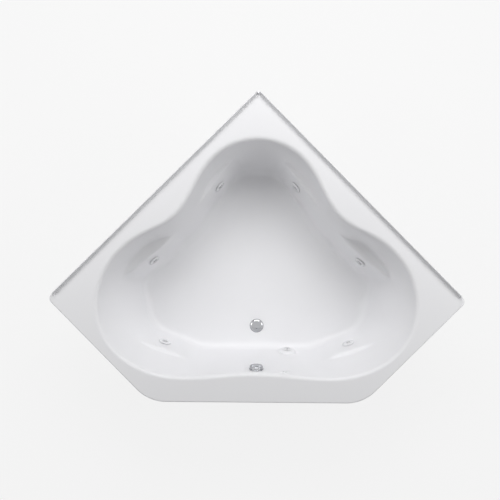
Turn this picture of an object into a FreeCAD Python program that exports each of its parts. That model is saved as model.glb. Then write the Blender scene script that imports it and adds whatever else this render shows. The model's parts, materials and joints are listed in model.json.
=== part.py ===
"""Corner bath with water jets, 1524 mm along each wall, in millimetres.

+X is to the right, +Y towards the room's corner, +Z up.  The origin is the middle of the bounding box, on the
floor.  Each piece, or each group of like pieces, is written to its own STEP file in parts/.
"""
import FreeCAD, Part
import math
import os

V = FreeCAD.Vector
UP = V(0, 0, 1)
DOWN = V(0, 0, -1)
BACKWARD = V(0, 1, 0)
FORWARD = V(0, -1, 0)
RIGHT = V(1, 0, 0)

# ---------------------------------------------------------------- deck, the flat rim round the basin
wall_leg = 1524.0            # deck edge along each wall, corner to corner
short_side = 745.0           # deck edge square to each wall, up to the front edge
back_corner_r = 12.0
side_corner_r = 30.0
front_corner_r = 215.0
deck_z = 545.0               # top of the deck above the floor
shell_t = 6.0                # acrylic with its laminate
lip_drop = 38.0              # how far the outer lip turns down
lip_round = 5.0              # rounding of the lip's upper edge

least_r = 1.0                # of the lip's hidden corners
seat_depth = 30.0            # how deep the cuts for round flats and holes go
over = 1.0                   # cuts and webs run this far past the faces they meet
flat_tol = 0.01              # heights that count as level
seat_sink = 1.2              # round flats on the curved wall lie this far back

# ---------------------------------------------------------------- tile flange along the two walls
flange_h = 25.0              # above the deck
flange_t = 5.0
flange_foot_r = 10.0         # cove between the flange and the deck
flange_side_gap = 40.0       # stops short of the side corners
flange_back_gap = 14.0       # and of the back corner

# ---------------------------------------------------------------- basin
rim_back = 1370.2            # back of the rim, from the front edge
floor_z = 105.0              # inside floor of the basin
rim_roll_r = 20.0            # rounding from the deck into the wall
floor_cove_r = 45.0          # cove from the wall into the floor
back_inset = 169.0           # floor edge inside the rim at the back
# Right half of the rim, from the back round to the front, as runs that follow on smoothly.  Each run is
# (radius, or length where it is straight; turn in degrees, left positive; floor edge inside the rim at the
# middle and at the end of the run; bulge of the wall into the basin at the same two places).
rim_runs = (
    (353.0, -62.5, 160.0, 150.0, 0.0, 0.0),       # back lobe
    (152.0, 0.0, 152.0, 160.0, 0.0, 0.0),         # its flank
    (292.0, 37.5, 168.0, 175.0, 0.0, 0.0),        # waist
    (50.0, 0.0, 188.0, 200.0, -10.0, -20.0),      # shoulder
    (608.0, -12.0, 208.0, 215.0, -23.0, -20.0),   # top of the side lobe
    (415.0, -53.0, 212.0, 250.0, -5.0, 0.0),      # end of the side lobe, the backrest
    (362.0, -58.0, 245.0, 220.0, 0.0, 8.0),       # its lower half
    (528.0, -31.0, 205.0, 188.0, 14.0, 8.0),      # heel
    (1578.0, -7.6, 160.0, 147.0, 0.0, 0.0),       # shallow hollow of the front
)
front_insets = (142.0, 140.0)  # the last run bulges back in to the middle of the front

# ---------------------------------------------------------------- jets and their flat pads in the wall
jet_z = 255.0                # height of the jets
jet_tilt = 12.0              # how far the pads look upwards
pad_rise = 90.0              # ledge on top of the pad above the jet
pad_reach = 200.0            # the pad's ledge has met the wall by here
# Right half: (distance right of the middle, distance from the front edge, direction that the jet looks in,
# half the pad's width).
jet_places = (
    (505.4, 270.7, 108.3, 125.0),     # front of the side lobe
    (568.4, 724.2, 229.3, 165.0),     # back of the side lobe
    (212.4, 1132.2, 217.0, 150.0),    # back lobe
)
jet_hole_r = 26.0            # also the suction's
jet_neck_r = 25.6
jet_bore_r = 20.0
jet_flange_r = 31.0
jet_flange_t = 2.5
jet_neck_l = 26.0
jet_body_r = 31.0
jet_body_l = 50.0            # barrel behind its flange
jet_chamber_r = 20.5
clamp_flange_r = 38.0
clamp_flange_t = 4.5
gasket_t = 2.5
jet_seat_r = 42.0            # round flat under the jet
trim_r = 33.0
trim_t = 8.0
trim_edge = 2.8              # height of its straight edge
trim_bend = (3.0, 6.0)       # its shoulder: inside the edge, above the foot
trim_crown_in = 8.0          # its flat crown, inside the edge
trim_sleeve_r = 19.6
trim_sleeve_l = 14.0
ball_r = 15.0
ball_back = 10.5             # flat back of the ball, from its centre
ball_gap = 0.4               # round the ball and under the trim
nozzle_bore_r = 5.5
nozzle_r = 8.5
nozzle_l = 14.0              # tip beyond the ball's centre
lip_bore_r = 13.4            # mouth of the trim that keeps the ball in
lip_t = 1.6

# ---------------------------------------------------------------- water and air pipes round the basin
fit_gap = 0.1                # round a pipe in its socket
water_r = 16.7
water_wall = 2.5
water_back = 42.0            # water port behind the pad
water_port_l = 54.0          # port's mouth from the jet's axis
air_r = 8.0
air_wall = 1.5
air_back = 30.0
air_rise = 44.0
air_port_l = 30.0
socket_wall = 3.5
socket_depth = 18.0
water_bend_r = 60.0
air_bend_r = 40.0
lobe_pipe_x = 757.0          # pipes pass the ends of the side lobes here
arch_pipe_in = 1317.0        # and behind the back lobe, from the front edge
riser_wall = 4.0             # tee between the pump's riser and the ring
riser_half_l = 40.0
riser_gap = 2.0
plug_t = 4.0                 # heads of the plugs in the unused ports
intake_gap = 1.0             # under the deck
intake_x = -400.0            # air intake under the front deck
intake_in = 66.0             # from the front edge
intake_r = 17.0
intake_l = 60.0

# ---------------------------------------------------------------- waste, overflow and their control
drain_in = 353.2             # from the front edge
drain_hole_r = 26.0
drain_flange_r = 39.0
drain_flange_t = 2.5
drain_flange_slope = 2.0     # its edge leans in by this
drain_neck_r = 25.4
drain_neck_l = 30.0
drain_bore_r = 20.0
drain_gasket_t = 4.0
shoe_flange_r = 38.0
shoe_flange_t = 4.0
shoe_r = 30.0
stopper_r = 34.0
stopper_t = 4.0
stopper_edge = 2.4           # height of its straight edge
stopper_bevel = 3.0
stopper_dome = 3.5
stopper_crown = (20.4, 2.45)  # bend in its crown: radius, height above the bevel
stopper_seal_r = 24.0
stopper_seal_t = 2.0
stem_r = 4.0
stem_l = 34.0
spider_z = 14.0              # guide of the stem, below the floor
spider_t = 5.0
running_gap = 0.4            # round stems, shafts and other slow moving pieces
waste_r = 19.05
waste_wall = 1.5
waste_z = 58.0               # axis of the level waste pipe
tail_foot_z = 3.0
spigot_r = 18.4              # top of the tailpiece, inside the tee
tee_r = 24.0
tee_reach = 42.0             # its mouths from its centre
overflow_z = 480.0
overflow_hole_r = 30.0
overflow_seat_r = 43.0
overflow_plate_r = 36.0
overflow_plate_t = 2.5
overflow_neck_r = 29.5
overflow_neck_l = 8.0        # beyond the gasket
overflow_drop = 20.0         # outlet socket below the body
overflow_bore_r = 26.0
overflow_body_r = 33.0
overflow_body_l = 38.0
overflow_outlet_back = 20.9  # axis of its outlet behind its mouth
overflow_flange_r = 36.5
knob_r = 38.0
knob_t = 17.0
knob_wall = 2.5
knob_bevel = 3.0
knob_shaft_r = 4.0
knob_ways = 8                # round notches in the knob's edge, which let the water in
knob_way_r = 5.0
crank_r = 12.0               # pulls the cable
cable_r = 2.5
cable_bend_r = 40.0
cable_side = 30.0            # cable runs this far right of the waste pipes
cable_z = 40.0
cable_boss_r = 6.0
cable_boss_back = 20.0       # its boss on the shoe, in front of the drain

# ---------------------------------------------------------------- suction
suction_x = 172.0
suction_z = 168.0
suction_cover_r = 48.0
suction_cover_t = 12.0
suction_seat_r = 50.0
suction_flange_r = 46.0
suction_flange_t = 3.0
suction_bore_r = 20.0
suction_neck_l = 26.0
suction_port_l = 60.0        # mouth of the port from the body's axis
suction_wall = 3.0           # of the cover and its hub
suction_hub_r = 6.0
screw_head_r = 5.0
screw_head_t = 1.5
suction_slot_w = 4.0
suction_slots = 16
suction_body_r = 33.0
suction_body_l = 66.0
suction_back = 48.0          # pipe axis behind the wall's inner face
suction_pipe_r = 24.15
suction_pipe_wall = 3.7
suction_bend_r = 75.0
suction_turn_x = 610.0       # where the pipe turns to follow the short side

# ---------------------------------------------------------------- pump
pump_x = 757.0
pump_in = 427.0              # suction face from the front edge
pump_z = 100.0               # axis
volute_r = 84.0
volute_back = 72.0           # joint between volute and seal plate, from the suction face
chamber_r = 66.0
seal_plate_t = 8.0
motor_r = 75.0
motor_wall = 5.0
motor_l = 170.0
bell_t = 8.0
shaft_r = 6.0
bearing_r = 16.0
bearing_t = 6.0
bearing_gap = 1.0            # between the bearing and the seal plate
stator_r = 43.0              # bore of the windings
stator_l = 100.0
impeller_r = 58.0
fan_r = 58.0
fan_cover_l = 40.0
pump_neck_r = 34.0
outlet_r = 24.0
pump_neck_l = 22.0
volute_wall = 6.0
eye_r = 20.0                 # from the neck into the chamber
outlet_wall = 5.0
seal_r = 14.0
seal_t = 5.0
bolt_circle_r = 75.0
bolts = 6
bolt_start = 30.0            # degrees from level to the first bolt
bolt_r = 3.0
bolt_flats = 10.0
bolt_head_t = 4.0
bearing_wall = 6.0
stator_gap = 0.3             # windings in the casing
core_gap = 0.6               # rotor in the windings
impeller_s = (48.0, 64.0)    # from the suction face
fan_s = (262.0, 270.0)
blades = 7
blade_t = 3.0
eye_clearance = 3.0
cover_wall = 2.5
cover_slots = 12
cover_slot_w = 5.0
cover_slot_in = 20.3         # slots start this far from the axis
motor_foot = (70.0, 50.0)    # half its width across, half its length
foot_t = 8.0
foot_web = 40.0              # half the width of the web between casing and foot
stator_s = 110.0             # front of the windings
terminal_box = (66.0, 80.0, 26.0)
terminal_s = 165.0
gland_r = 8.0
gland_bore_r = 4.0
gland_l = 18.0
gland_nut_l = 6.0
gland_barrel_r = 6.8
hose_r = 3.0                 # nipples for the thin air hose
hose_bore_r = 1.5
hose_l = 12.0
pump_board_t = 12.0
pump_pad_t = 6.0
pump_pad_r = 10.0
pump_screw_r = 2.9
pump_board_past = 93.0       # board beyond the pump's axis
pump_board_w = 170.0

# ---------------------------------------------------------------- on and off air button under the front rim
button_x = 152.0
button_z = 497.0
button_r = 13.0
button_bevel = 1.5
button_stem_r = 6.0
button_travel = 4.0
button_flange_r = 18.0
button_seat_r = 22.0
button_hole_r = 14.6
button_hole_depth = 12.0
button_barrel_r = 14.2
button_barrel_l = 30.0
button_nut_r = 20.0
button_nut_t = 6.0
button_flange_t = 2.0
button_rise = 6.0            # cap's face before the flange's seat
button_well = 8.0            # depth of the well that the cap moves in
button_stem_l = 18.0

# ---------------------------------------------------------------- base
board_t = 18.0
board_margin = 35.0          # inside the edge of the basin's floor
foot_size = (110.0, 80.0)
feet = ((0.0, 1090.0), (190.0, 860.0), (-190.0, 860.0), (455.0, 540.0), (-455.0, 540.0), (270.0, 390.0),
        (-270.0, 390.0))     # (x, distance from the front edge)
rail_w = 30.0                # timber rails bonded under the deck
rail_t = 18.0
rail_gap = 0.5               # from the lip
rail_end_gap = 2.0           # between the ends of two rails
rail_corner = 1.1            # a rail stops this many widths before a corner
rail_round_from = 100.0      # and, at roundings larger than this,
rail_round_share = 0.42      # by this share of the rounding too
shoe_clearance = 8.0         # board's hole round the drain shoe

SQ = 1 / math.sqrt(2)
half_w = wall_leg * SQ
front_y = -(half_w + short_side * SQ - back_corner_r * (math.sqrt(2) - 1)) / 2
back_y = front_y + (wall_leg + short_side) * SQ    # where the two walls would meet
side_y = back_y - half_w
under_z = deck_z - shell_t
floor_under_z = floor_z - shell_t


def save(name, *shapes):
    """Write one piece, or one group of like pieces, to its file."""
    solids = [s for shape in shapes for s in shape.Solids]
    shape = solids[0] if len(solids) == 1 else Part.makeCompound(solids)
    shape.exportStep("parts/%s.step" % name)
    boxes = shape.BoundBox
    print("%-18s %2d solid(s) %9.1f cm3  x %7.1f %7.1f  y %7.1f %7.1f  z %6.1f %6.1f%s" % (
        name, len(solids), shape.Volume / 1000, boxes.XMin, boxes.XMax, boxes.YMin, boxes.YMax, boxes.ZMin,
        boxes.ZMax, "" if shape.isValid() else "  NOT VALID"))


# ---------------------------------------------------------------- plain shapes
def rod(r, a, b, origin, axis):
    """Cylinder along axis, from a to b mm beyond origin."""
    return Part.makeCylinder(r, b - a, origin + axis * a, axis)


def tube(r_out, r_in, a, b, origin, axis):
    """Round tube along axis, from a to b mm beyond origin."""
    return rod(r_out, a, b, origin, axis).cut(rod(r_in, a - over, b + over, origin, axis))


def fused(*shapes):
    """One solid from pieces that overlap or meet face to face."""
    return shapes[0].fuse(list(shapes[1:])).removeSplitter()


def spun(wire, origin, axis):
    """Solid of revolution from a closed wire, drawn with x as the radius and z as the place along axis."""
    solid = Part.Face(wire).revolve(V(0, 0, 0), UP, 360)
    solid.Placement = FreeCAD.Placement(origin, FreeCAD.Rotation(UP, axis))
    return solid


def turned(profile, origin, axis):
    """Solid of revolution from (radius, place along axis) corners."""
    corners = [V(r, 0, s) for r, s in profile]
    return spun(Part.makePolygon(corners + corners[:1]), origin, axis)


def hexagon(across_flats, a, b, origin, axis):
    """Hexagonal prism along axis."""
    r = across_flats / math.sqrt(3)
    corners = [V(r * math.cos(math.pi * k / 3), r * math.sin(math.pi * k / 3), a) for k in range(7)]
    solid = Part.Face(Part.makePolygon(corners)).extrude(V(0, 0, b - a))
    solid.Placement = FreeCAD.Placement(origin, FreeCAD.Rotation(UP, axis))
    return solid


def box(low, high):
    """Upright box between two corners."""
    size = high - low
    return Part.makeBox(size.x, size.y, size.z, low)


def bent_path(points, bend_r):
    """Straight runs through the points, joined by tangent arcs."""
    edges = []
    start = points[0]
    for before, corner, after in zip(points, points[1:], points[2:]):
        u = (before - corner).normalize()
        w = (after - corner).normalize()
        half = u.getAngle(w) / 2
        reach = bend_r / math.tan(half)
        middle = corner + (u + w).normalize() * (bend_r / math.sin(half) - bend_r)
        edges.append(Part.LineSegment(start, corner + u * reach).toShape())
        edges.append(Part.Arc(corner + u * reach, middle, corner + w * reach).toShape())
        start = corner + w * reach
    edges.append(Part.LineSegment(start, points[-1]).toShape())
    return Part.Wire(edges)


def pipe(points, bend_r, r_out, wall):
    """Bent pipe through the points, solid where wall is 0."""
    path = bent_path(points, bend_r)
    along = (points[1] - points[0]).normalize()

    def swept(r):
        ring = Part.Wire([Part.makeCircle(r, points[0], along)])
        return path.makePipeShell([ring], True, False)
    return swept(r_out).cut(swept(r_out - wall)) if wall else swept(r_out)


# ---------------------------------------------------------------- deck outline
def deck_corners(inset):
    """Corners (x, y, radius) of the deck's outline, moved in by inset."""
    front_x = half_w - short_side * SQ - inset * math.tan(math.radians(22.5))
    side_x = half_w - inset / SQ
    return ((0, back_y - inset / SQ, max(back_corner_r - inset, least_r)),
            (side_x, side_y, max(side_corner_r - inset, least_r)),
            (front_x, front_y + inset, front_corner_r - inset),
            (-front_x, front_y + inset, front_corner_r - inset),
            (-side_x, side_y, max(side_corner_r - inset, least_r)))


def rounded(corners, z):
    """Closed wire through (x, y, radius) corners at height z."""
    rounds = []
    for i, (x, y, r) in enumerate(corners):
        p = V(x, y, z)
        u = (V(corners[i - 1][0], corners[i - 1][1], z) - p).normalize()
        w = (V(corners[i + 1 - len(corners)][0], corners[i + 1 - len(corners)][1], z) - p).normalize()
        half = u.getAngle(w) / 2
        middle = p + (u + w).normalize() * (r / math.sin(half) - r)
        rounds.append((p + u * (r / math.tan(half)), middle, p + w * (r / math.tan(half))))
    edges = []
    for i, (start, middle, stop) in enumerate(rounds):
        edges.append(Part.Arc(start, middle, stop).toShape())
        edges.append(Part.LineSegment(stop, rounds[i + 1 - len(rounds)][0]).toShape())
    return Part.Wire(edges)


# ---------------------------------------------------------------- basin surface
def rim_stations():
    """Rim as [(point, inward direction, floor inset, bulge)], all the way round from the back."""
    x, y, heading = 0.0, front_y + rim_back, 0.0
    half = [(x, y, heading, back_inset, 0.0)]
    runs = [(size, math.radians(turn), insets) for size, turn, *insets in rim_runs]
    for size, turn, (inset_mid, inset_end, bulge_mid, bulge_end) in runs:
        for inset, bulge in ((inset_mid, bulge_mid), (inset_end, bulge_end)):
            chord = 2 * size * math.sin(abs(turn) / 4) if turn else size / 2
            x += chord * math.cos(heading + turn / 4)
            y += chord * math.sin(heading + turn / 4)
            heading += turn / 2
            half.append((x, y, heading, inset, bulge))
    last_turn = -math.pi - heading
    last_r = x / math.sin(last_turn)
    for inset in front_insets:
        chord = 2 * last_r * math.sin(last_turn / 4)
        x += chord * math.cos(heading + last_turn / 4)
        y += chord * math.sin(heading + last_turn / 4)
        heading += last_turn / 2
        half.append((x, y, heading, inset, 0.0))
    right = [(V(x, y, 0), V(math.sin(h), -math.cos(h), 0), inset, bulge) for x, y, h, inset, bulge in half]
    left = [(V(-p.x, p.y, 0), V(-n.x, n.y, 0), inset, bulge) for p, n, inset, bulge in right[-2:0:-1]]
    return right + left


def wall_profile(inset, bulge, offset):
    """Points (in from the rim, height) down one wall: roll, straight wall, cove.

    offset moves the profile outwards into the shell, for its hidden side.
    """
    roll, cove = rim_roll_r - offset, floor_cove_r + offset
    drop = deck_z - floor_z - roll - cove
    run = math.sqrt(inset ** 2 + drop ** 2 - (roll + cove) ** 2)
    steep = math.atan2(drop, inset) + math.atan2(roll + cove, run)
    points = []
    for k in range(4):
        a = steep * k / 3
        points.append((roll * math.sin(a), deck_z - offset - roll * (1 - math.cos(a))))
    top_in, top_z = points[-1]
    for f in (0.25, 0.5, 0.75, 1.0):
        push = bulge * math.sin(math.pi * f) ** 2
        points.append((top_in + run * f * math.cos(steep) + push, top_z - run * f * math.sin(steep)))
    for k in (2, 1, 0):
        a = steep * k / 3
        points.append((inset - cove * math.sin(a), floor_z - offset + cove * (1 - math.cos(a))))
    return points


def ring_curve(points, stations):
    """Smooth closed curve with one point at each rim station."""
    knots = [0.0]
    for here, after in zip(stations, stations[1:] + stations[:1]):
        knots.append(knots[-1] + (after[0] - here[0]).Length)
    curve = Part.BSplineCurve()
    curve.interpolate(Points=points, Parameters=knots, PeriodicFlag=True)
    return Part.Wire([curve.toShape()])


def basin_solid(stations, offset):
    """Space inside the basin, or with an offset the space inside its hidden side."""
    profiles = [wall_profile(inset, bulge, offset) for point, inward, inset, bulge in stations]
    wires = []
    for level in range(len(profiles[0])):
        points = []
        for (point, inward, inset, bulge), profile in zip(stations, profiles):
            reach, z = profile[level]
            points.append(point + inward * reach + UP * z)
        wires.append(ring_curve(points, stations))
    skin = Part.makeLoft(wires, False, False)
    shell = Part.makeShell(skin.Faces + [Part.Face(wires[0]), Part.Face(wires[-1])])
    shell.sewShape()
    solid = Part.makeSolid(shell)
    if solid.Volume < 0:
        solid.reverse()
    return solid, skin.Faces[0], wires[0]


def wall_spot(skin, x, z):
    """Round flat on the front wall at x and z: its middle, and the direction square to it into the basin."""
    line = Part.makeLine(V(x, front_y, z), V(x, front_y + drain_in, z))
    point = line.distToShape(skin)[1][0][0]
    inward = skin.normalAt(*skin.Surface.parameter(point))
    inward = inward if inward.y > 0 else inward * -1
    return point - inward * seat_sink, inward


# ---------------------------------------------------------------- jets' places
class Jet:
    """Place and directions of one jet: origin on its pad, axis into the basin."""

    def __init__(self, x, from_front, look, pad_half, side):
        a = math.radians(look)
        self.level = V(side * math.cos(a), math.sin(a), 0)
        tilt = math.radians(jet_tilt)
        self.origin = V(side * x, front_y + from_front, jet_z)
        self.axis = self.level * math.cos(tilt) + UP * math.sin(tilt)
        self.rise = UP * math.cos(tilt) - self.level * math.sin(tilt)
        self.along = self.level.cross(UP) * side        # level, along the wall, from the front to the back
        self.pad_half = pad_half

    def pad_block(self, offset):
        """What lies behind the pad's face and below its ledge."""
        down = floor_z - floor_cove_r
        top = jet_z + pad_rise - offset
        slope = math.tan(math.radians(jet_tilt))
        back = self.origin - self.axis * offset
        ends = []
        for z, outward in ((top, 0), (top, pad_reach), (down, pad_reach), (down, 0)):
            lean = (z - back.z) * slope
            ends.append(V(back.x, back.y, z) - self.level * (outward if outward else lean))
        width = 2 * (self.pad_half - offset)
        corners = [p - self.along * (width / 2) for p in ends]
        return Part.Face(Part.makePolygon(corners + corners[:1])).extrude(self.along * width)

    def placed(self, solid):
        """Copy of a solid drawn with its axis up and its top towards +Y, moved to this jet."""
        turn = FreeCAD.Rotation(self.rise.cross(self.axis), self.rise, self.axis, "ZXY")
        placed = solid.copy()
        placed.Placement = FreeCAD.Placement(self.origin, turn)
        return placed

    def water_centre(self):
        return self.origin - self.axis * water_back

    def air_centre(self):
        return self.origin - self.axis * air_back + self.rise * air_rise


def jets():
    """Six jets in the order of the pipes: from the front right round the back to the front left."""
    right = [Jet(*place, 1) for place in jet_places]
    left = [Jet(*place, -1) for place in jet_places]
    return right + left[::-1]


os.makedirs("parts", exist_ok=True)
stations = rim_stations()
six = jets()


# ---------------------------------------------------------------- shell
def seat_cut(solid, offset, origin, axis, r):
    """Basin space with a round flat of radius r at origin, square to axis."""
    behind = rod(r - offset, -seat_depth, -offset, origin, axis)
    before = rod(r + offset, -offset, seat_depth, origin, axis)
    return solid.cut(behind).fuse(before)


def tile_flange(side):
    """Upstand along one wall, with its cove."""
    foot = flange_t + flange_foot_r
    root = shell_t - over
    low = -lip_round * 2
    profile = [V(0, 0, low), V(root, 0, low), V(root, 0, 0), V(foot, 0, 0)]
    edges = [Part.LineSegment(a, b).toShape() for a, b in zip(profile, profile[1:])]
    bend = flange_foot_r * (1 - SQ)
    cove_top = V(flange_t, 0, flange_foot_r)
    edges.append(Part.Arc(V(foot, 0, 0), V(flange_t + bend, 0, bend), cove_top).toShape())
    tip_r = flange_t / 2
    tip_front = V(flange_t, 0, flange_h - tip_r)
    tip_back = V(0, 0, flange_h - tip_r)
    edges.append(Part.LineSegment(cove_top, tip_front).toShape())
    edges.append(Part.Arc(tip_front, V(tip_r, 0, flange_h), tip_back).toShape())
    edges.append(Part.LineSegment(tip_back, V(0, 0, low)).toShape())
    length = wall_leg - flange_side_gap - flange_back_gap
    solid = Part.Face(Part.Wire(edges)).extrude(V(0, length, 0))
    solid.translate(V(0, flange_side_gap, 0))
    solid.rotate(V(0, 0, 0), UP, -45)
    solid.translate(V(-half_w, side_y, deck_z))
    return solid if side < 0 else solid.mirror(V(0, 0, 0), RIGHT)


inside, skin, rim = basin_solid(stations, 0.0)
hidden, hidden_skin, hidden_rim = basin_solid(stations, shell_t)
overflow_at, overflow_axis = wall_spot(skin, 0.0, overflow_z)
suction_at, suction_axis = wall_spot(skin, suction_x, suction_z)
button_at, button_axis = wall_spot(skin, button_x, button_z)
seats = [(j.origin, j.axis, jet_seat_r) for j in six]
seats += [(overflow_at, overflow_axis, overflow_seat_r), (suction_at, suction_axis, suction_seat_r),
          (button_at, button_axis, button_seat_r)]
inside = inside.cut([j.pad_block(0.0) for j in six])
hidden = hidden.cut([j.pad_block(shell_t) for j in six])
for origin, axis, r in seats:
    inside = seat_cut(inside, 0.0, origin, axis, r)
    hidden = seat_cut(hidden, shell_t, origin, axis, r)

deck = Part.Face(rounded(deck_corners(0.0), deck_z - lip_drop)).extrude(UP * lip_drop)
deck = deck.makeFillet(lip_round, [e for e in deck.Edges if e.BoundBox.ZMin > deck_z - over])
lip_inside = Part.Face(rounded(deck_corners(shell_t), deck_z - lip_drop))
deck = deck.cut(lip_inside.extrude(UP * (lip_drop - shell_t)))
deck = deck.fuse([tile_flange(-1), tile_flange(1)]).removeSplitter()


def level_face(solid, z):
    """Largest level face of a solid at height z."""
    level = [f for f in solid.Faces if abs(f.BoundBox.ZMax - z) < flat_tol and f.BoundBox.ZLength < flat_tol]
    return max(level, key=lambda f: f.Area)


def without(solid, face):
    """The solid's other faces."""
    return [f for f in solid.Faces if not f.isSame(face)]


deck_top = level_face(deck, deck_z)
deck_under = level_face(deck, under_z)
walls = [f for f in deck.Faces if not (f.isSame(deck_top) or f.isSame(deck_under))]
pieces = walls + deck_top.cut(Part.Face(rim)).Faces + deck_under.cut(Part.Face(hidden_rim)).Faces
pieces += without(inside, level_face(inside, deck_z)) + without(hidden, level_face(hidden, under_z))
skin_shell = Part.makeShell(pieces)
skin_shell.sewShape()
bath = Part.makeSolid(skin_shell)
if bath.Volume < 0:
    bath.reverse()
holes = [rod(jet_hole_r, -seat_depth, seat_depth, j.origin, j.axis) for j in six]
drain_at = V(0, front_y + drain_in, floor_z)
holes.append(rod(drain_hole_r, -seat_depth, seat_depth, drain_at, UP))
holes.append(rod(overflow_hole_r, -seat_depth, seat_depth, overflow_at, overflow_axis))
holes.append(rod(jet_hole_r, -seat_depth, seat_depth, suction_at, suction_axis))
holes.append(rod(button_hole_r, -button_hole_depth, button_hole_depth, button_at, button_axis))
bath = bath.cut(holes)
save("bath_shell", bath)

# ---------------------------------------------------------------- jets
def jet_fitting(j):
    """Wall fitting: flange inside the basin, neck through the wall."""
    return turned(((jet_bore_r, -jet_neck_l), (jet_neck_r, -jet_neck_l), (jet_neck_r, 0), (jet_flange_r, 0),
                   (jet_flange_r, jet_flange_t), (jet_bore_r, jet_flange_t)), j.origin, j.axis)


def jet_body():
    """Body behind the wall, with its cross ports for water and air: axis up, air port towards +Y."""
    origin = V(0, 0, 0)
    front = -shell_t - gasket_t
    back = front - clamp_flange_t - jet_body_l
    water_port_r = water_r + fit_gap + socket_wall
    air_port_r = air_r + fit_gap + socket_wall
    water = V(0, 0, -water_back)
    air_foot = V(0, 0, -air_back)
    air = air_foot + BACKWARD * air_rise
    solid = fused(rod(clamp_flange_r, front - clamp_flange_t, front, origin, UP),
                  rod(jet_body_r, back, front, origin, UP),
                  rod(water_port_r, -water_port_l, water_port_l, water, RIGHT),
                  rod(air_port_r, -air_port_l, air_port_l, air, RIGHT),
                  rod(air_r, 0, air_rise, air_foot, BACKWARD))
    bores = [rod(jet_neck_r + running_gap, -jet_neck_l - over, front + over, origin, UP),
             rod(jet_chamber_r, back + socket_wall, front, origin, UP),
             rod(water_r - water_wall, -water_port_l, water_port_l, water, RIGHT),
             rod(air_r - air_wall, -air_port_l, air_port_l, air, RIGHT),
             rod(air_r - socket_wall, jet_chamber_r - over, air_rise, air_foot, BACKWARD)]
    for end in (-1, 1):
        bores.append(rod(water_r + fit_gap, water_port_l - socket_depth, water_port_l, water, RIGHT * end))
        bores.append(rod(air_r + fit_gap, air_port_l - socket_depth, air_port_l, air, RIGHT * end))
    return solid.cut(bores)


def jet_trim(j):
    """Turning trim: a domed ring with a sleeve that holds the ball."""
    foot = jet_flange_t + ball_gap
    seat_r = ball_r + ball_gap
    crown = foot + trim_t
    return turned(((seat_r, -trim_sleeve_l + lip_t), (lip_bore_r, -trim_sleeve_l + lip_t),
                   (lip_bore_r, -trim_sleeve_l), (trim_sleeve_r, -trim_sleeve_l), (trim_sleeve_r, foot),
                   (trim_r, foot), (trim_r, foot + trim_edge), (trim_r - trim_bend[0], foot + trim_bend[1]),
                   (trim_r - trim_crown_in, crown), (seat_r + lip_t, crown), (lip_bore_r, crown - lip_t),
                   (seat_r, crown - 2 * lip_t)), j.origin, j.axis)


def jet_nozzle(j):
    """Ball with its tip, bored through."""
    tail = V(math.sqrt(ball_r ** 2 - ball_back ** 2), 0, -ball_back)
    neck = V(nozzle_r, 0, math.sqrt(ball_r ** 2 - nozzle_r ** 2))
    corners = [neck, V(nozzle_r, 0, nozzle_l), V(nozzle_bore_r, 0, nozzle_l), V(nozzle_bore_r, 0, -ball_back)]
    corners.append(tail)
    edges = [Part.LineSegment(a, b).toShape() for a, b in zip(corners, corners[1:])]
    edges.append(Part.Arc(tail, V(ball_r, 0, 0), neck).toShape())
    return spun(Part.Wire(edges), j.origin, j.axis)


save("jet_fittings", *[jet_fitting(j) for j in six])
clamp_spots = [(j.origin, j.axis) for j in six] + [(suction_at, suction_axis)]
save("wall_gaskets", *[tube(clamp_flange_r, jet_hole_r, -shell_t - gasket_t, -shell_t, origin, axis)
                       for origin, axis in clamp_spots])
body = jet_body()
save("jet_bodies", *[j.placed(body) for j in six])
for number, j in enumerate(six, 1):
    save("jet_trim_%d" % number, jet_trim(j))
    save("jet_nozzle_%d" % number, jet_nozzle(j))


# ---------------------------------------------------------------- pipes round the basin
def crossing(a, u, b, w):
    """Where two level lines cross, a + u t and b + w t."""
    t = ((b.x - a.x) * w.y - (b.y - a.y) * w.x) / (u.x * w.y - u.y * w.x)
    return a + u * t


def lobe_route(front, side, centre, start):
    """Route round the end of one side lobe, between its front and its back jet."""
    x = lobe_pipe_x if front.origin.x > 0 else -lobe_pipe_x
    line = V(x, 0, centre(front).z)
    return (centre(front) + front.along * start, crossing(centre(front), front.along, line, BACKWARD),
            crossing(centre(side), side.along, line, BACKWARD), centre(side) - side.along * start)


def waist_route(side, back, centre, start):
    """Route past the waist, between the side lobe's back jet and the back lobe's jet."""
    corner = crossing(centre(side), side.along, centre(back), back.along)
    return centre(side) + side.along * start, corner, centre(back) - back.along * start


def arch_route(right, left, centre, start):
    """Route behind the back lobe."""
    line = V(0, front_y + arch_pipe_in, centre(right).z)
    return (centre(right) + right.along * start, crossing(centre(right), right.along, line, RIGHT),
            crossing(centre(left), left.along, line, RIGHT), centre(left) + left.along * start)


def ring_routes(centre, port_l):
    """Five routes that join the six jets."""
    start = port_l - socket_depth
    front_r, side_r, back_r, back_l, side_l, front_l = six
    return (lobe_route(front_r, side_r, centre, start), waist_route(side_r, back_r, centre, start),
            arch_route(back_r, back_l, centre, start), waist_route(side_l, back_l, centre, start),
            lobe_route(front_l, side_l, centre, start))


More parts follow.
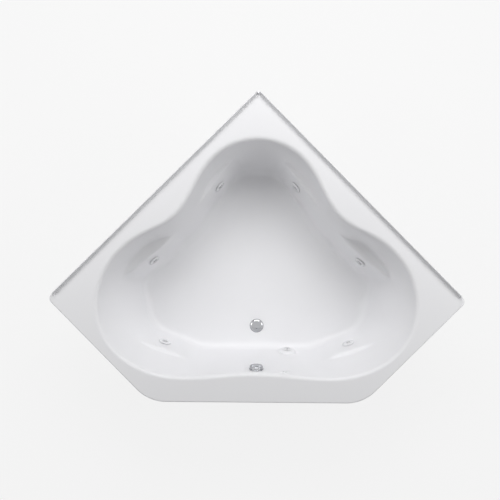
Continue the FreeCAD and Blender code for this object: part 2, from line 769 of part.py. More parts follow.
water_pipes = [pipe(route, water_bend_r, water_r, water_wall)
               for route in ring_routes(Jet.water_centre, water_port_l)]
outlet_at = V(pump_x, front_y + pump_in + (volute_back + pump_neck_l) / 2, pump_z)
riser_at = V(lobe_pipe_x, outlet_at.y, six[0].water_centre().z)
outlet_top = riser_at.z - water_r - riser_wall - riser_gap
riser_bore = rod(water_r - water_wall, outlet_top - riser_at.z, 0, riser_at, UP)
water_pipes[0] = water_pipes[0].cut(riser_bore)
save("water_pipes", *water_pipes)
saddle_r = water_r + fit_gap + riser_wall
riser = fused(rod(saddle_r, -riser_half_l, riser_half_l, riser_at, BACKWARD),
              rod(outlet_r + fit_gap + riser_wall, outlet_top - socket_depth - riser_at.z, 0, riser_at, UP))
riser = riser.cut([rod(water_r + fit_gap, -riser_half_l, riser_half_l, riser_at, BACKWARD), riser_bore,
                   rod(outlet_r + fit_gap, outlet_top - socket_depth - riser_at.z, outlet_top - riser_at.z,
                       riser_at, UP)])
save("riser_tee", riser)
save("air_pipes", *[pipe(route, air_bend_r, air_r, air_wall)
                    for route in ring_routes(Jet.air_centre, air_port_l)])


def port_plug(centre, j, r, port_l):
    """Headed plug in the free end of a port whose axis runs through centre."""
    foot = port_l - socket_depth
    head = r + socket_wall
    return turned(((0, foot), (r, foot), (r, port_l), (head, port_l), (head, port_l + plug_t),
                   (0, port_l + plug_t)), centre, j.along * -1)


front_r, front_l = six[0], six[-1]
save("pipe_plugs", port_plug(front_r.water_centre(), front_r, water_r, water_port_l),
     port_plug(front_l.water_centre(), front_l, water_r, water_port_l),
     port_plug(front_r.air_centre(), front_r, air_r, air_port_l))
intake_foot = V(intake_x, front_y + intake_in, front_l.air_centre().z)
intake_at = V(intake_foot.x, intake_foot.y, under_z - intake_gap - intake_l)
turn_at = crossing(front_l.air_centre(), front_l.along, intake_foot, BACKWARD)
intake_start = front_l.air_centre() - front_l.along * (air_port_l - socket_depth)
save("intake_pipe", pipe((intake_start, turn_at, intake_foot, intake_at + UP * socket_depth), air_bend_r, air_r,
                         air_wall))
intake = rod(intake_r, 0, intake_l, intake_at, UP)
intake = intake.cut([rod(air_r + fit_gap, 0, socket_depth, intake_at, UP),
                     rod(intake_r - socket_wall, socket_depth + socket_wall, intake_l - socket_wall, intake_at, UP),
                     rod(air_r - air_wall, 0, intake_l, intake_at, UP)])
save("air_intake", intake)

# ---------------------------------------------------------------- drain and its stopper
drain_flange = turned(((drain_bore_r, -drain_neck_l), (drain_neck_r, -drain_neck_l), (drain_neck_r, 0),
                       (drain_flange_r, 0), (drain_flange_r - drain_flange_slope, drain_flange_t),
                       (drain_bore_r, drain_flange_t)), drain_at, UP)
spider_at = drain_at - UP * (spider_z + spider_t / 2)
spokes = [rod(spider_t / 2, 0, drain_bore_r + over, spider_at, V(math.cos(a), math.sin(a), 0))
          for a in (math.pi / 2, math.pi * 7 / 6, math.pi * 11 / 6)]
drain_flange = fused(drain_flange, rod(stem_r * 2, -spider_z - spider_t, -spider_z, drain_at, UP), *spokes)
save("drain_flange", drain_flange.cut(rod(stem_r + running_gap, -drain_neck_l, drain_flange_t, drain_at, UP)))
shoe_top = -shell_t - drain_gasket_t
save("drain_gasket", tube(shoe_flange_r, drain_hole_r, shoe_top, -shell_t, drain_at, UP))
waste_axis = V(0, drain_at.y, waste_z)
shoe_foot = waste_z - waste_r - socket_wall * 2 - floor_z
shoe_mouth = shoe_r + socket_depth
boss_y = drain_at.y - cable_boss_back
shoe = fused(rod(shoe_flange_r, shoe_top - shoe_flange_t, shoe_top, drain_at, UP),
             rod(shoe_r, shoe_foot, shoe_top, drain_at, UP),
             rod(waste_r + fit_gap + socket_wall, 0, shoe_mouth, waste_axis, FORWARD),
             rod(cable_boss_r, 0, cable_boss_back, V(cable_side, boss_y, cable_z), BACKWARD))
shoe = shoe.cut([rod(drain_neck_r + running_gap, -drain_neck_l - over, shoe_top, drain_at, UP),
                 rod(waste_r, shoe_foot + socket_wall, shoe_top, drain_at, UP),
                 rod(waste_r - waste_wall, 0, shoe_mouth, waste_axis, FORWARD),
                 rod(waste_r + fit_gap, shoe_mouth - socket_depth, shoe_mouth, waste_axis, FORWARD)])
save("drain_shoe", shoe)
seal_z = drain_flange_t + running_gap
cap_z = seal_z + stopper_seal_t
save("drain_stopper", turned(((0, cap_z - stem_l), (stem_r, cap_z - stem_l), (stem_r, seal_z),
                              (stopper_seal_r, seal_z), (stopper_seal_r, cap_z), (stopper_r, cap_z),
                              (stopper_r, cap_z + stopper_edge),
                              (stopper_r - stopper_bevel, cap_z + stopper_t),
                              (stopper_crown[0], cap_z + stopper_t + stopper_crown[1]),
                              (0, cap_z + stopper_t + stopper_dome)), drain_at, UP))

# ---------------------------------------------------------------- waste pipes
overflow_back = overflow_at - overflow_axis * (shell_t + gasket_t + overflow_outlet_back)
tee_y = overflow_back.y
tee_top = waste_z + tee_reach
tee_foot = waste_z - tee_r
tee = fused(rod(tee_r, tee_foot, tee_top, V(0, tee_y, 0), UP),
            rod(tee_r, 0, tee_reach, V(0, tee_y, waste_z), BACKWARD))
tee = tee.cut([rod(waste_r + fit_gap, tee_top - socket_depth, tee_top, V(0, tee_y, 0), UP),
               rod(waste_r - waste_wall, tee_foot, tee_top, V(0, tee_y, 0), UP),
               rod(spigot_r + fit_gap, tee_foot, tee_foot + socket_depth, V(0, tee_y, 0), UP),
               rod(waste_r + fit_gap, tee_reach - socket_depth, tee_reach, V(0, tee_y, waste_z), BACKWARD),
               rod(waste_r - waste_wall, 0, tee_reach, V(0, tee_y, waste_z), BACKWARD)])
save("waste_tee", tee)
level_start = drain_at.y - shoe_mouth + socket_depth
level_end = tee_y + tee_reach - socket_depth
level_at = V(0, level_end, waste_z)
save("waste_pipe", tube(waste_r, waste_r - waste_wall, 0, level_start - level_end, level_at, BACKWARD))
tail = rod(waste_r, tail_foot_z, tee_foot, V(0, tee_y, 0), UP)
tail = fused(tail, rod(spigot_r, tail_foot_z, tee_foot + socket_depth, V(0, tee_y, 0), UP))
save("tailpiece", tail.cut(rod(spigot_r - waste_wall, 0, deck_z, V(0, tee_y, 0), UP)))
body_foot = overflow_z - overflow_body_r - overflow_drop
cable_top = body_foot + cable_boss_r
save("overflow_pipe", tube(waste_r, waste_r - waste_wall, tee_top - socket_depth, body_foot + socket_depth,
                           V(0, tee_y, 0), UP))

# ---------------------------------------------------------------- overflow and its knob
flange_back = -shell_t - gasket_t
body_back = flange_back - overflow_body_l
elbow = fused(rod(overflow_flange_r, flange_back - shoe_flange_t, flange_back, overflow_at, overflow_axis),
              rod(overflow_body_r, body_back, flange_back, overflow_at, overflow_axis),
              rod(waste_r + fit_gap + socket_wall, body_foot, overflow_z - overflow_drop, V(0, tee_y, 0), UP),
              rod(cable_boss_r, cable_top, overflow_back.z, V(cable_side, tee_y, 0), UP))
neck_foot = flange_back - overflow_neck_l
elbow = elbow.cut([rod(overflow_neck_r + running_gap, neck_foot, flange_back, overflow_at, overflow_axis),
                   rod(overflow_bore_r, body_back + socket_wall, flange_back, overflow_at, overflow_axis),
                   rod(knob_shaft_r + running_gap, body_back, flange_back, overflow_at, overflow_axis),
                   rod(waste_r + fit_gap, body_foot, body_foot + socket_depth, V(0, tee_y, 0), UP),
                   rod(waste_r - waste_wall, body_foot, overflow_z - overflow_bore_r, V(0, tee_y, 0), UP)])
save("overflow_elbow", elbow)
save("overflow_gasket", tube(overflow_flange_r, overflow_hole_r, flange_back, -shell_t, overflow_at,
                             overflow_axis))
save("overflow_plate", turned(((overflow_bore_r, neck_foot), (overflow_neck_r, neck_foot), (overflow_neck_r, 0),
                               (overflow_plate_r, 0), (overflow_plate_r, overflow_plate_t),
                               (overflow_bore_r, overflow_plate_t)), overflow_at, overflow_axis))
knob_foot = overflow_plate_t + running_gap
knob_front = knob_foot + knob_t
shaft_end = body_back - over
knob_inside_r = knob_r - knob_wall
knob_inside = knob_front - knob_wall
knob = turned(((0, shaft_end), (knob_shaft_r, shaft_end), (knob_shaft_r, knob_inside),
               (knob_inside_r, knob_inside), (knob_inside_r, knob_foot), (knob_r, knob_foot),
               (knob_r, knob_front - knob_bevel), (knob_r - knob_bevel, knob_front), (0, knob_front)),
              overflow_at, overflow_axis)
knob_rise = overflow_axis.cross(RIGHT)
knob_rise = knob_rise if knob_rise.z > 0 else knob_rise * -1
ways = [FreeCAD.Rotation(overflow_axis, 360 * k / knob_ways).multVec(knob_rise) for k in range(knob_ways)]
knob = knob.cut([rod(knob_way_r, knob_inside_r - over, knob_r + over, overflow_at + overflow_axis * knob_foot, way)
                 for way in ways])
crank_foot = body_back + socket_wall
crank = rod(crank_r, crank_foot + running_gap, crank_foot + socket_wall, overflow_at, overflow_axis)
save("overflow_knob", fused(knob, crank))
save("cable_housing", pipe((V(cable_side, tee_y, cable_top), V(cable_side, tee_y, cable_z),
                            V(cable_side, boss_y, cable_z)), cable_bend_r, cable_r, 0))

# ---------------------------------------------------------------- suction
suction_front = -shell_t - gasket_t
suction_mouth_r = suction_pipe_r + fit_gap + socket_wall
suction_pipe_at = suction_at - suction_axis * suction_back
web_at = suction_at - suction_axis * (suction_neck_l / 4)
web_ways = [way.normalize() * side for side in (-1, 1)
            for way in (suction_axis.cross(RIGHT), suction_axis.cross(BACKWARD.cross(suction_axis)))]
hub = fused(rod(suction_hub_r, -suction_neck_l / 2, suction_flange_t, suction_at, suction_axis),
            *[rod(suction_wall / 2, 0, suction_bore_r + over, web_at, way) for way in web_ways])
fitting = turned(((suction_bore_r, -suction_neck_l), (jet_neck_r, -suction_neck_l), (jet_neck_r, 0),
                  (suction_flange_r, 0), (suction_flange_r, suction_flange_t), (suction_bore_r, suction_flange_t)),
                 suction_at, suction_axis)
screw_hole = rod(pump_screw_r, -suction_neck_l / 2, suction_flange_t, suction_at, suction_axis)
save("suction_fitting", fused(fitting, hub).cut(screw_hole))
suction_end = suction_front - suction_body_l
suction_stop = suction_port_l - socket_depth
body = fused(rod(clamp_flange_r, suction_front - clamp_flange_t, suction_front, suction_at, suction_axis),
             rod(suction_body_r, suction_end, suction_front, suction_at, suction_axis),
             rod(suction_mouth_r, 0, suction_port_l, suction_pipe_at, RIGHT))
body = body.cut([rod(jet_neck_r + running_gap, -suction_neck_l - over, suction_front, suction_at, suction_axis),
                 rod(suction_pipe_r, suction_end + socket_wall, suction_front, suction_at, suction_axis),
                 rod(suction_pipe_r - suction_pipe_wall, 0, suction_port_l, suction_pipe_at, RIGHT),
                 rod(suction_pipe_r + fit_gap, suction_stop, suction_port_l, suction_pipe_at, RIGHT)])
save("suction_body", body)
inner_r = suction_flange_r + fit_gap
cover_front = suction_flange_t + suction_cover_t
cover = turned(((0, cover_front - suction_wall), (inner_r - suction_cover_t, cover_front - suction_wall),
                (inner_r, suction_flange_t + suction_wall), (inner_r, fit_gap), (suction_cover_r, fit_gap),
                (suction_cover_r, suction_flange_t + suction_wall),
                (inner_r - suction_cover_t, cover_front), (0, cover_front)), suction_at, suction_axis)
cover = fused(cover, rod(suction_hub_r, suction_flange_t, cover_front, suction_at, suction_axis))
slots = []
for k in range(suction_slots):
    turn = FreeCAD.Rotation(suction_axis, 360 * k / suction_slots)
    out = turn.multVec(RIGHT - suction_axis * RIGHT.dot(suction_axis)).normalize()
    across = suction_axis.cross(out)
    near = suction_at + out * (suction_hub_r * 2) - across * (suction_slot_w / 2)
    far = near + out * (inner_r - suction_cover_t - suction_hub_r * 2 - suction_wall)
    wide = across * suction_slot_w
    slot_face = Part.Face(Part.makePolygon([near, far, far + wide, near + wide, near]))
    slot_face.translate(suction_axis * (suction_flange_t + suction_wall))
    slots.append(slot_face.extrude(suction_axis * suction_cover_t))
slots.append(rod(pump_screw_r + fit_gap, suction_flange_t, cover_front, suction_at, suction_axis))
save("suction_cover", cover.cut(slots))
save("suction_screw", fused(rod(pump_screw_r, -suction_neck_l / 4, cover_front, suction_at, suction_axis),
                            rod(screw_head_r, cover_front, cover_front + screw_head_t, suction_at, suction_axis)))

# ---------------------------------------------------------------- pump
pump_at = V(pump_x, front_y + pump_in, pump_z)
corner_y = suction_pipe_at.y + (pump_x - suction_turn_x)
suction_route = (suction_pipe_at + RIGHT * suction_stop,
                 V(suction_turn_x, suction_pipe_at.y, suction_pipe_at.z),
                 V(pump_x, corner_y, pump_z), pump_at + BACKWARD * socket_depth)
save("suction_pipe", pipe(suction_route, suction_bend_r, suction_pipe_r, suction_pipe_wall))
motor_s = volute_back + seal_plate_t
motor_end = motor_s + motor_l
outlet_up = outlet_top - pump_z
volute = fused(rod(pump_neck_r, 0, pump_neck_l, pump_at, BACKWARD),
               rod(volute_r, pump_neck_l, volute_back, pump_at, BACKWARD),
               rod(outlet_r, 0, outlet_up, outlet_at, UP))
bolt_angles = [math.radians(bolt_start + 360 * k / bolts) for k in range(bolts)]
bolt_spots = [V(math.cos(a), 0, math.sin(a)) * bolt_circle_r for a in bolt_angles]
volute = volute.cut([rod(suction_pipe_r + fit_gap, 0, socket_depth, pump_at, BACKWARD),
                     rod(eye_r, 0, volute_back, pump_at, BACKWARD),
                     rod(chamber_r, pump_neck_l + volute_wall, volute_back, pump_at, BACKWARD),
                     rod(outlet_r - outlet_wall, 0, outlet_up, outlet_at, UP)]
                    + [rod(bolt_r + fit_gap, pump_neck_l, volute_back, pump_at + spot, BACKWARD)
                       for spot in bolt_spots])
save("pump_volute", volute)
front_bearing = motor_s + bearing_gap
front_seat = front_bearing + bearing_t
plate = fused(rod(volute_r, volute_back, motor_s, pump_at, BACKWARD),
              rod(bearing_r + bearing_wall, motor_s, front_seat, pump_at, BACKWARD))
plate = plate.cut([rod(shaft_r + running_gap, volute_back, front_seat, pump_at, BACKWARD),
                   rod(bearing_r, front_bearing, front_seat, pump_at, BACKWARD)]
                  + [rod(bolt_r + fit_gap, volute_back, motor_s, pump_at + spot, BACKWARD) for spot in bolt_spots])
save("seal_plate", plate)
save("shaft_seal", tube(seal_r, shaft_r + running_gap, volute_back - seal_t, volute_back, pump_at, BACKWARD))
save("volute_bolts", *[fused(rod(bolt_r, pump_neck_l, motor_s, pump_at + spot, BACKWARD),
                             hexagon(bolt_flats, pump_neck_l - bolt_head_t, pump_neck_l, pump_at + spot, BACKWARD))
                       for spot in bolt_spots])
foot_z = pump_board_t + pump_pad_t
foot_y = pump_at.y + (motor_s + motor_end) / 2
foot_low = V(pump_x - motor_foot[0], foot_y - motor_foot[1], foot_z)
foot_high = V(pump_x + motor_foot[0], foot_y + motor_foot[1], foot_z + foot_t)
web_low = V(pump_x - foot_web, foot_y - motor_foot[1], foot_z)
web_high = V(pump_x + foot_web, foot_y + motor_foot[1], pump_z)
casing = fused(rod(motor_r, motor_s, motor_end, pump_at, BACKWARD), box(foot_low, foot_high),
               box(web_low, web_high))
foot_spots = [V(pump_x + a * (motor_foot[0] - pump_pad_r), foot_y + b * (motor_foot[1] - pump_pad_r), 0)
              for a in (-1, 1) for b in (-1, 1)]
casing = casing.cut([rod(motor_r - motor_wall, motor_s, motor_end - bell_t, pump_at, BACKWARD),
                     rod(shaft_r + running_gap, motor_s, motor_end, pump_at, BACKWARD)]
                    + [rod(pump_screw_r + fit_gap, foot_z, foot_z + foot_t, spot, UP) for spot in foot_spots])
back_seat = motor_end - bell_t
back_bearing = back_seat - bearing_t
bearing_seat = tube(bearing_r + bearing_wall, bearing_r, back_bearing, back_seat, pump_at, BACKWARD)
save("motor_casing", fused(casing, bearing_seat))
save("motor_bearings", tube(bearing_r, shaft_r + running_gap, front_bearing, front_seat, pump_at, BACKWARD),
     tube(bearing_r, shaft_r + running_gap, back_bearing, back_seat, pump_at, BACKWARD))
stator_end = stator_s + stator_l
save("stator", tube(motor_r - motor_wall - stator_gap, stator_r, stator_s, stator_end, pump_at, BACKWARD))


def bladed(r, low, high, hub_r):
    """Wheel with a thin back plate and radial blades in front of it, from low to high along the shaft."""
    plate_low = high - blade_t
    wheel = [rod(r, plate_low, high, pump_at, BACKWARD), rod(hub_r, low, high, pump_at, BACKWARD)]
    for k in range(blades):
        blade = box(V(0, low, -blade_t / 2), V(r - over, plate_low, blade_t / 2))
        blade.rotate(V(0, 0, 0), BACKWARD, 360 * k / blades)
        blade.translate(pump_at)
        wheel.append(blade)
    return fused(*wheel)


rotor = fused(rod(shaft_r, impeller_s[0] - eye_clearance, fan_s[1] + eye_clearance, pump_at, BACKWARD),
              rod(stator_r - core_gap, stator_s, stator_end, pump_at, BACKWARD),
              bladed(impeller_r, *impeller_s, shaft_r * 2), bladed(fan_r, *fan_s, shaft_r * 2))
save("motor_rotor", rotor)
cover_end = motor_end + fan_cover_l
fan_cover = rod(motor_r, motor_end, cover_end, pump_at, BACKWARD)
fan_cover = fan_cover.cut(rod(motor_r - cover_wall, motor_end, cover_end - cover_wall, pump_at, BACKWARD))
slots = []
for k in range(cover_slots):
    slot_box = box(V(cover_slot_in, cover_end - cover_wall, -cover_slot_w / 2),
                   V(fan_r, cover_end, cover_slot_w / 2))
    slot_box.rotate(V(0, 0, 0), BACKWARD, 360 * k / cover_slots)
    slot_box.translate(pump_at)
    slots.append(slot_box)
save("fan_cover", fan_cover.cut(slots))
box_w, box_l, box_h = terminal_box
box_y = pump_at.y + terminal_s
box_foot = pump_z + motor_r
box_half = V(box_w / 2, box_l / 2, 0)
hollow_half = box_half - V(cover_wall, cover_wall, 0)
wiring_box = box(V(pump_x, box_y, pump_z + motor_r / 2) - box_half, V(pump_x, box_y, box_foot + box_h) + box_half)
hollow = box(V(pump_x, box_y, box_foot + cover_wall) - hollow_half,
             V(pump_x, box_y, box_foot + box_h - cover_wall) + hollow_half)
gland_at = V(pump_x + box_w / 2, box_y - box_l / 4, box_foot + box_h / 2)
hose_at = V(gland_at.x, box_y + box_l / 4, gland_at.z)
wiring_box = wiring_box.cut([rod(motor_r, motor_s, motor_end, pump_at, BACKWARD), hollow])
wiring_box = fused(wiring_box, rod(hose_r, 0, hose_l, hose_at, RIGHT))
wiring_box = wiring_box.cut([rod(hose_bore_r, -cover_wall, hose_l, hose_at, RIGHT),
                             rod(gland_bore_r, -cover_wall, gland_l, gland_at, RIGHT)])
save("terminal_box", wiring_box)
gland = fused(hexagon(gland_r * 2, 0, gland_nut_l, gland_at, RIGHT),
              rod(gland_barrel_r, gland_nut_l, gland_l, gland_at, RIGHT))
save("cord_gland", gland.cut(rod(gland_bore_r, 0, gland_l, gland_at, RIGHT)))
save("pump_pads", *[tube(pump_pad_r, pump_screw_r + fit_gap, pump_board_t, foot_z, spot, UP)
                    for spot in foot_spots])
side_foot = max(x for x, from_front in feet) + foot_size[0] / 2
board = box(V(side_foot, foot_y - pump_board_w / 2, 0),
            V(pump_x + pump_board_past, foot_y + pump_board_w / 2, pump_board_t))
board = board.cut([rod(pump_screw_r, 0, pump_board_t, spot, UP) for spot in foot_spots])
save("pump_board", board)
save("pump_screws", *[fused(rod(pump_screw_r, pump_board_t / 4, foot_z + foot_t, spot, UP),
                            hexagon(bolt_flats, foot_z + foot_t, foot_z + foot_t + bolt_head_t, spot, UP))
                      for spot in foot_spots])

# ---------------------------------------------------------------- air button
barrel_end = -button_barrel_l
well_r = button_r + running_gap
button_body = fused(rod(button_flange_r, 0, button_flange_t, button_at, button_axis),
                    rod(button_barrel_r, barrel_end, 0, button_at, button_axis),
                    rod(hose_r, barrel_end - hose_l, barrel_end, button_at, button_axis))
button_body = button_body.cut([rod(well_r, -button_well, button_flange_t, button_at, button_axis),
                               rod(button_stem_r + running_gap, barrel_end + socket_wall, 0, button_at, button_axis),
                               rod(hose_bore_r, barrel_end - hose_l, 0, button_at, button_axis)])
save("button_body", button_body)
save("button_nut", tube(button_nut_r, button_barrel_r + fit_gap, -shell_t - button_nut_t, -shell_t, button_at,
                        button_axis))
cap_foot = button_travel - button_well + running_gap
save("button_cap", turned(((0, -button_stem_l), (button_stem_r, -button_stem_l), (button_stem_r, cap_foot),
                           (button_r, cap_foot), (button_r, button_rise - button_bevel),
                           (button_r - button_bevel, button_rise), (0, button_rise)), button_at, button_axis))

# ---------------------------------------------------------------- base
board_curve = ring_curve([point + inward * (inset + board_margin) + UP * (floor_under_z - board_t)
                          for point, inward, inset, bulge in stations], stations)
base_board = Part.Face(board_curve).extrude(UP * board_t)
base_board = base_board.cut(rod(shoe_flange_r + shoe_clearance, -floor_z, 0, drain_at, UP))
save("base_board", base_board)
blocks = []
for x, from_front in feet:
    middle = V(x, front_y + from_front, 0)
    half = V(foot_size[0] / 2, foot_size[1] / 2, 0)
    blocks.append(box(middle - half, middle + half + UP * (floor_under_z - board_t)))
save("base_feet", *blocks)


def rail(start, stop):
    """Timber rail under the deck, along the lip from start to stop, which are the lip's inner corners."""
    along = (stop - start).normalize()
    inward = UP.cross(along)
    ends = []
    for corner, end in ((start, along), (stop, along * -1)):
        clear = (rail_w + rail_gap) * rail_corner + rail_end_gap
        ends.append(corner + end * clear + inward * rail_gap)
    near, far = ends
    face = Part.Face(Part.makePolygon([near, far, far + inward * rail_w, near + inward * rail_w, near]))
    return face.extrude(DOWN * rail_t)


def rail_cut(r):
    """How much of a rounding of radius r a rail leaves clear."""
    return r * rail_round_share if r > rail_round_from else 0.0


lip_corners = [(V(x, y, under_z), r) for x, y, r in deck_corners(shell_t)]
rails = []
for k, (corner, corner_r) in enumerate(lip_corners):
    after, after_r = lip_corners[k - 1]
    along = (after - corner).normalize()
    rails.append(rail(corner + along * rail_cut(corner_r), after - along * rail_cut(after_r)))
save("rim_rails", *rails)
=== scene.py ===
"""Looks of a corner bath with water jets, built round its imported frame.

Metres.  +X is to the right, +Y towards the room's corner and +Z up, with the origin on the floor under the
middle of the bath's box.  The acrylic shell, the jets, the drain, the overflow, the suction cover and the air
button are surfaces worked out as whole arrays.  The pipes, the pump and the base keep the frame's own shapes.
"""
import json
import logging
import math
from dataclasses import dataclass
from enum import Enum

import bmesh
import bpy
import numpy as np
from mathutils import Euler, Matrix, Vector

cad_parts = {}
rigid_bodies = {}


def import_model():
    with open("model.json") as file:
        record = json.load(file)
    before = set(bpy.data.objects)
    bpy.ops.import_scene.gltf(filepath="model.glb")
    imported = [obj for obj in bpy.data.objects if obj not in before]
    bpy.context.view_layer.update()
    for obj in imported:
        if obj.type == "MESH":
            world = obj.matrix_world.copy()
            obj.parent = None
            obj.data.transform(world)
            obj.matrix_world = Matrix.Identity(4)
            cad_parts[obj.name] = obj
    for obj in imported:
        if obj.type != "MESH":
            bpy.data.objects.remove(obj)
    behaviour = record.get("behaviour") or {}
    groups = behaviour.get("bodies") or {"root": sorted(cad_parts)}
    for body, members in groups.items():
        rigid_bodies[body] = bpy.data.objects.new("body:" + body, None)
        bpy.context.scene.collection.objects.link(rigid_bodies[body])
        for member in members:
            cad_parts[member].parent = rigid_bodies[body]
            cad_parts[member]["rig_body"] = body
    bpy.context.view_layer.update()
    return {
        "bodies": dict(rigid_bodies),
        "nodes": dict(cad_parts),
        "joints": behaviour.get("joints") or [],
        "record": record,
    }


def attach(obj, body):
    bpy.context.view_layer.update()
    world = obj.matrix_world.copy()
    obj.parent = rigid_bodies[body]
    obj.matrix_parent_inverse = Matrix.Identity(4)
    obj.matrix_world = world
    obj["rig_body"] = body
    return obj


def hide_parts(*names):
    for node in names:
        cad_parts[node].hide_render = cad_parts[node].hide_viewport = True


LOG = logging.getLogger("bath")
MERGE_DISTANCE = 1e-6


# ---------------------------------------------------------------- arrays
def unit(vectors: np.ndarray) -> np.ndarray:
    """Return the vectors at length 1, worked along the last axis."""
    return vectors / np.linalg.norm(vectors, axis=-1, keepdims=True)


def smooth_step(value: np.ndarray, start: float, stop: float) -> np.ndarray:
    """Return 0 before start and 1 after stop, with the cubic 3t^2 - 2t^3 between them."""
    t = np.clip((value - start) / (stop - start), 0.0, 1.0)
    return t * t * (3.0 - 2.0 * t)


def soft_floor(value: np.ndarray, blend: float) -> np.ndarray:
    """Return value where it is positive and 0 where it is negative, rounded over blend.

    The formula is half of value + sqrt(value^2 + blend^2).
    """
    return 0.5 * (value + np.sqrt(value * value + blend * blend))


def soft_least(first: np.ndarray, second: np.ndarray, blend: float) -> np.ndarray:
    """Return the lesser of two arrays, rounded over blend where they cross.

    The formula is half of first + second - sqrt((first - second)^2 + blend^2).
    """
    return 0.5 * (first + second - np.sqrt((first - second) ** 2 + blend * blend))


def periodic_spline(knots: np.ndarray, values: np.ndarray, at: np.ndarray) -> np.ndarray:
    """Return a closed cubic spline through values at the knots, read at the given parameters.

    Args:
        knots: n + 1 rising parameters; the last is the first again, one lap on.
        values: n rows, one for each knot but the last.
        at: Parameters to read the curve at, within one lap.

    Returns:
        One row for each parameter.  Between two knots the curve is the Hermite cubic of its end values and of
        slopes that make the second derivative continuous, which is one linear system for all the slopes.
    """
    step = np.diff(knots)
    count = len(step)
    before = np.roll(step, 1)
    chord = (np.roll(values, -1, axis=0) - values) / step[:, None]
    rows = np.arange(count)
    system = np.zeros((count, count))
    system[rows, (rows - 1) % count] = step
    system[rows, rows] = 2.0 * (step + before)
    system[rows, (rows + 1) % count] = before
    right = 3.0 * (step[:, None] * np.roll(chord, 1, axis=0) + before[:, None] * chord)
    slopes = np.linalg.solve(system, right)
    span = np.clip(np.searchsorted(knots, at, side="right") - 1, 0, count - 1)
    after = (span + 1) % count
    width = step[span][:, None]
    t = ((at - knots[span]) / step[span])[:, None]
    return ((2 * t**3 - 3 * t**2 + 1) * values[span] + (t**3 - 2 * t**2 + t) * width * slopes[span]
            + (3 * t**2 - 2 * t**3) * values[after] + (t**3 - t**2) * width * slopes[after])


def rounded_profile(corners: list[tuple[float, float, float]], steps: int = 6) -> np.ndarray:
    """Return a run of (radius, place) points through corners, each rounded with its own radius.

    Args:
        corners: (radius, place along the axis, rounding) in order.  The first and the last are not rounded.
        steps: Points on each rounding, which is the quadratic curve that leaves one side and joins the next.

    Returns:
        An array of points (m, 2).
    """
    points = [np.array(corners[0][:2])]
    for before, corner, after in zip(corners, corners[1:], corners[2:]):
        p = np.array(corner[:2])
        if corner[2] <= 0.0:
            points.append(p)
            continue
        start = p + unit(np.array(before[:2]) - p) * corner[2]
        stop = p + unit(np.array(after[:2]) - p) * corner[2]
        t = np.linspace(0.0, 1.0, steps)[:, None]
        points.extend((1 - t) ** 2 * start + 2 * t * (1 - t) * p + t**2 * stop)
    points.append(np.array(corners[-1][:2]))
    return np.array(points)


def dished(radius: float, height: float, depth: float, steps: int) -> np.ndarray:
    """Return the (radius, place) points of a dished face, from its edge to the axis.

    The place is height - depth * sin^2(pi (1 - r / R) / 2).
    """
    share = np.linspace(0.0, 1.0, steps)[1:]
    return np.stack([radius * (1 - share), height - depth * np.sin(0.5 * math.pi * share) ** 2], axis=1)


# ---------------------------------------------------------------- places and meshes
@dataclass(frozen=True)
class Place:
    """Where a turned piece stands: its origin, the way it faces and the way that its top lies."""

    origin: tuple[float, float, float]
    axis: tuple[float, float, float]
    up: tuple[float, float, float] = (0.0, 0.0, 1.0)

    def frame(self) -> np.ndarray:
        """Return three rows: right, top and the axis itself."""
        axis = unit(np.array(self.axis, float))
        right = unit(np.cross(np.array(self.up, float), axis))
        return np.stack([right, np.cross(axis, right), axis])

    def put(self, local: np.ndarray) -> np.ndarray:
        """Return points given as (right, top, along the axis) in the bath's own frame."""
        return np.array(self.origin, float) + local @ self.frame()


def linked(name: str, data: bpy.types.ID) -> bpy.types.Object:
    """Return a new object for the data, linked to the scene at the origin."""
    made = bpy.data.objects.new(name, data)
    bpy.context.scene.collection.objects.link(made)
    return made


def smoothed(name: str, mesh: bpy.types.Mesh, sharp_deg: float, outwards: bool) -> bpy.types.Object:
    """Return a new object for a mesh, its doubles merged and its faces smooth up to an angle.

    Args:
        name: Name of the piece.
        mesh: The mesh, which is changed.
        sharp_deg: Edges that turn by more than this stay crisp.
        outwards: Whether to turn the faces outwards.

    Returns:
        The object, linked to the scene at the origin.
    """
    work = bmesh.new()
    work.from_mesh(mesh)
    bmesh.ops.remove_doubles(work, verts=work.verts, dist=MERGE_DISTANCE)
    if outwards:
        bmesh.ops.recalc_face_normals(work, faces=work.faces)
    work.to_mesh(mesh)
    work.free()
    mesh.polygons.foreach_set("use_smooth", np.ones(len(mesh.polygons), bool))
    mesh.set_sharp_from_angle(angle=math.radians(sharp_deg))
    return linked(name, mesh)


def make_mesh(name: str, points: np.ndarray, faces: np.ndarray, sharp_deg: float = 32.0) -> bpy.types.Object:
    """Return a new smooth piece from (n, 3) places and (m, 4) indices of its faces' corners."""
    mesh = bpy.data.meshes.new(name)
    mesh.from_pydata(points.reshape(-1, 3).tolist(), [], faces.tolist())
    return smoothed(name, mesh, sharp_deg, True)


def grid_faces(count_u: int, count_v: int, wrap_u: bool, wrap_v: bool) -> np.ndarray:
    """Return the corner indices of the quads of a grid, row v of column u at u * count_v + v."""
    u = np.arange(count_u if wrap_u else count_u - 1)[:, None]
    v = np.arange(count_v if wrap_v else count_v - 1)[None, :]
    u_next, v_next = (u + 1) % count_u, (v + 1) % count_v
    corners = [u * count_v + v, u_next * count_v + v, u_next * count_v + v_next, u * count_v + v_next]
    return np.stack(corners, axis=-1).reshape(-1, 4)


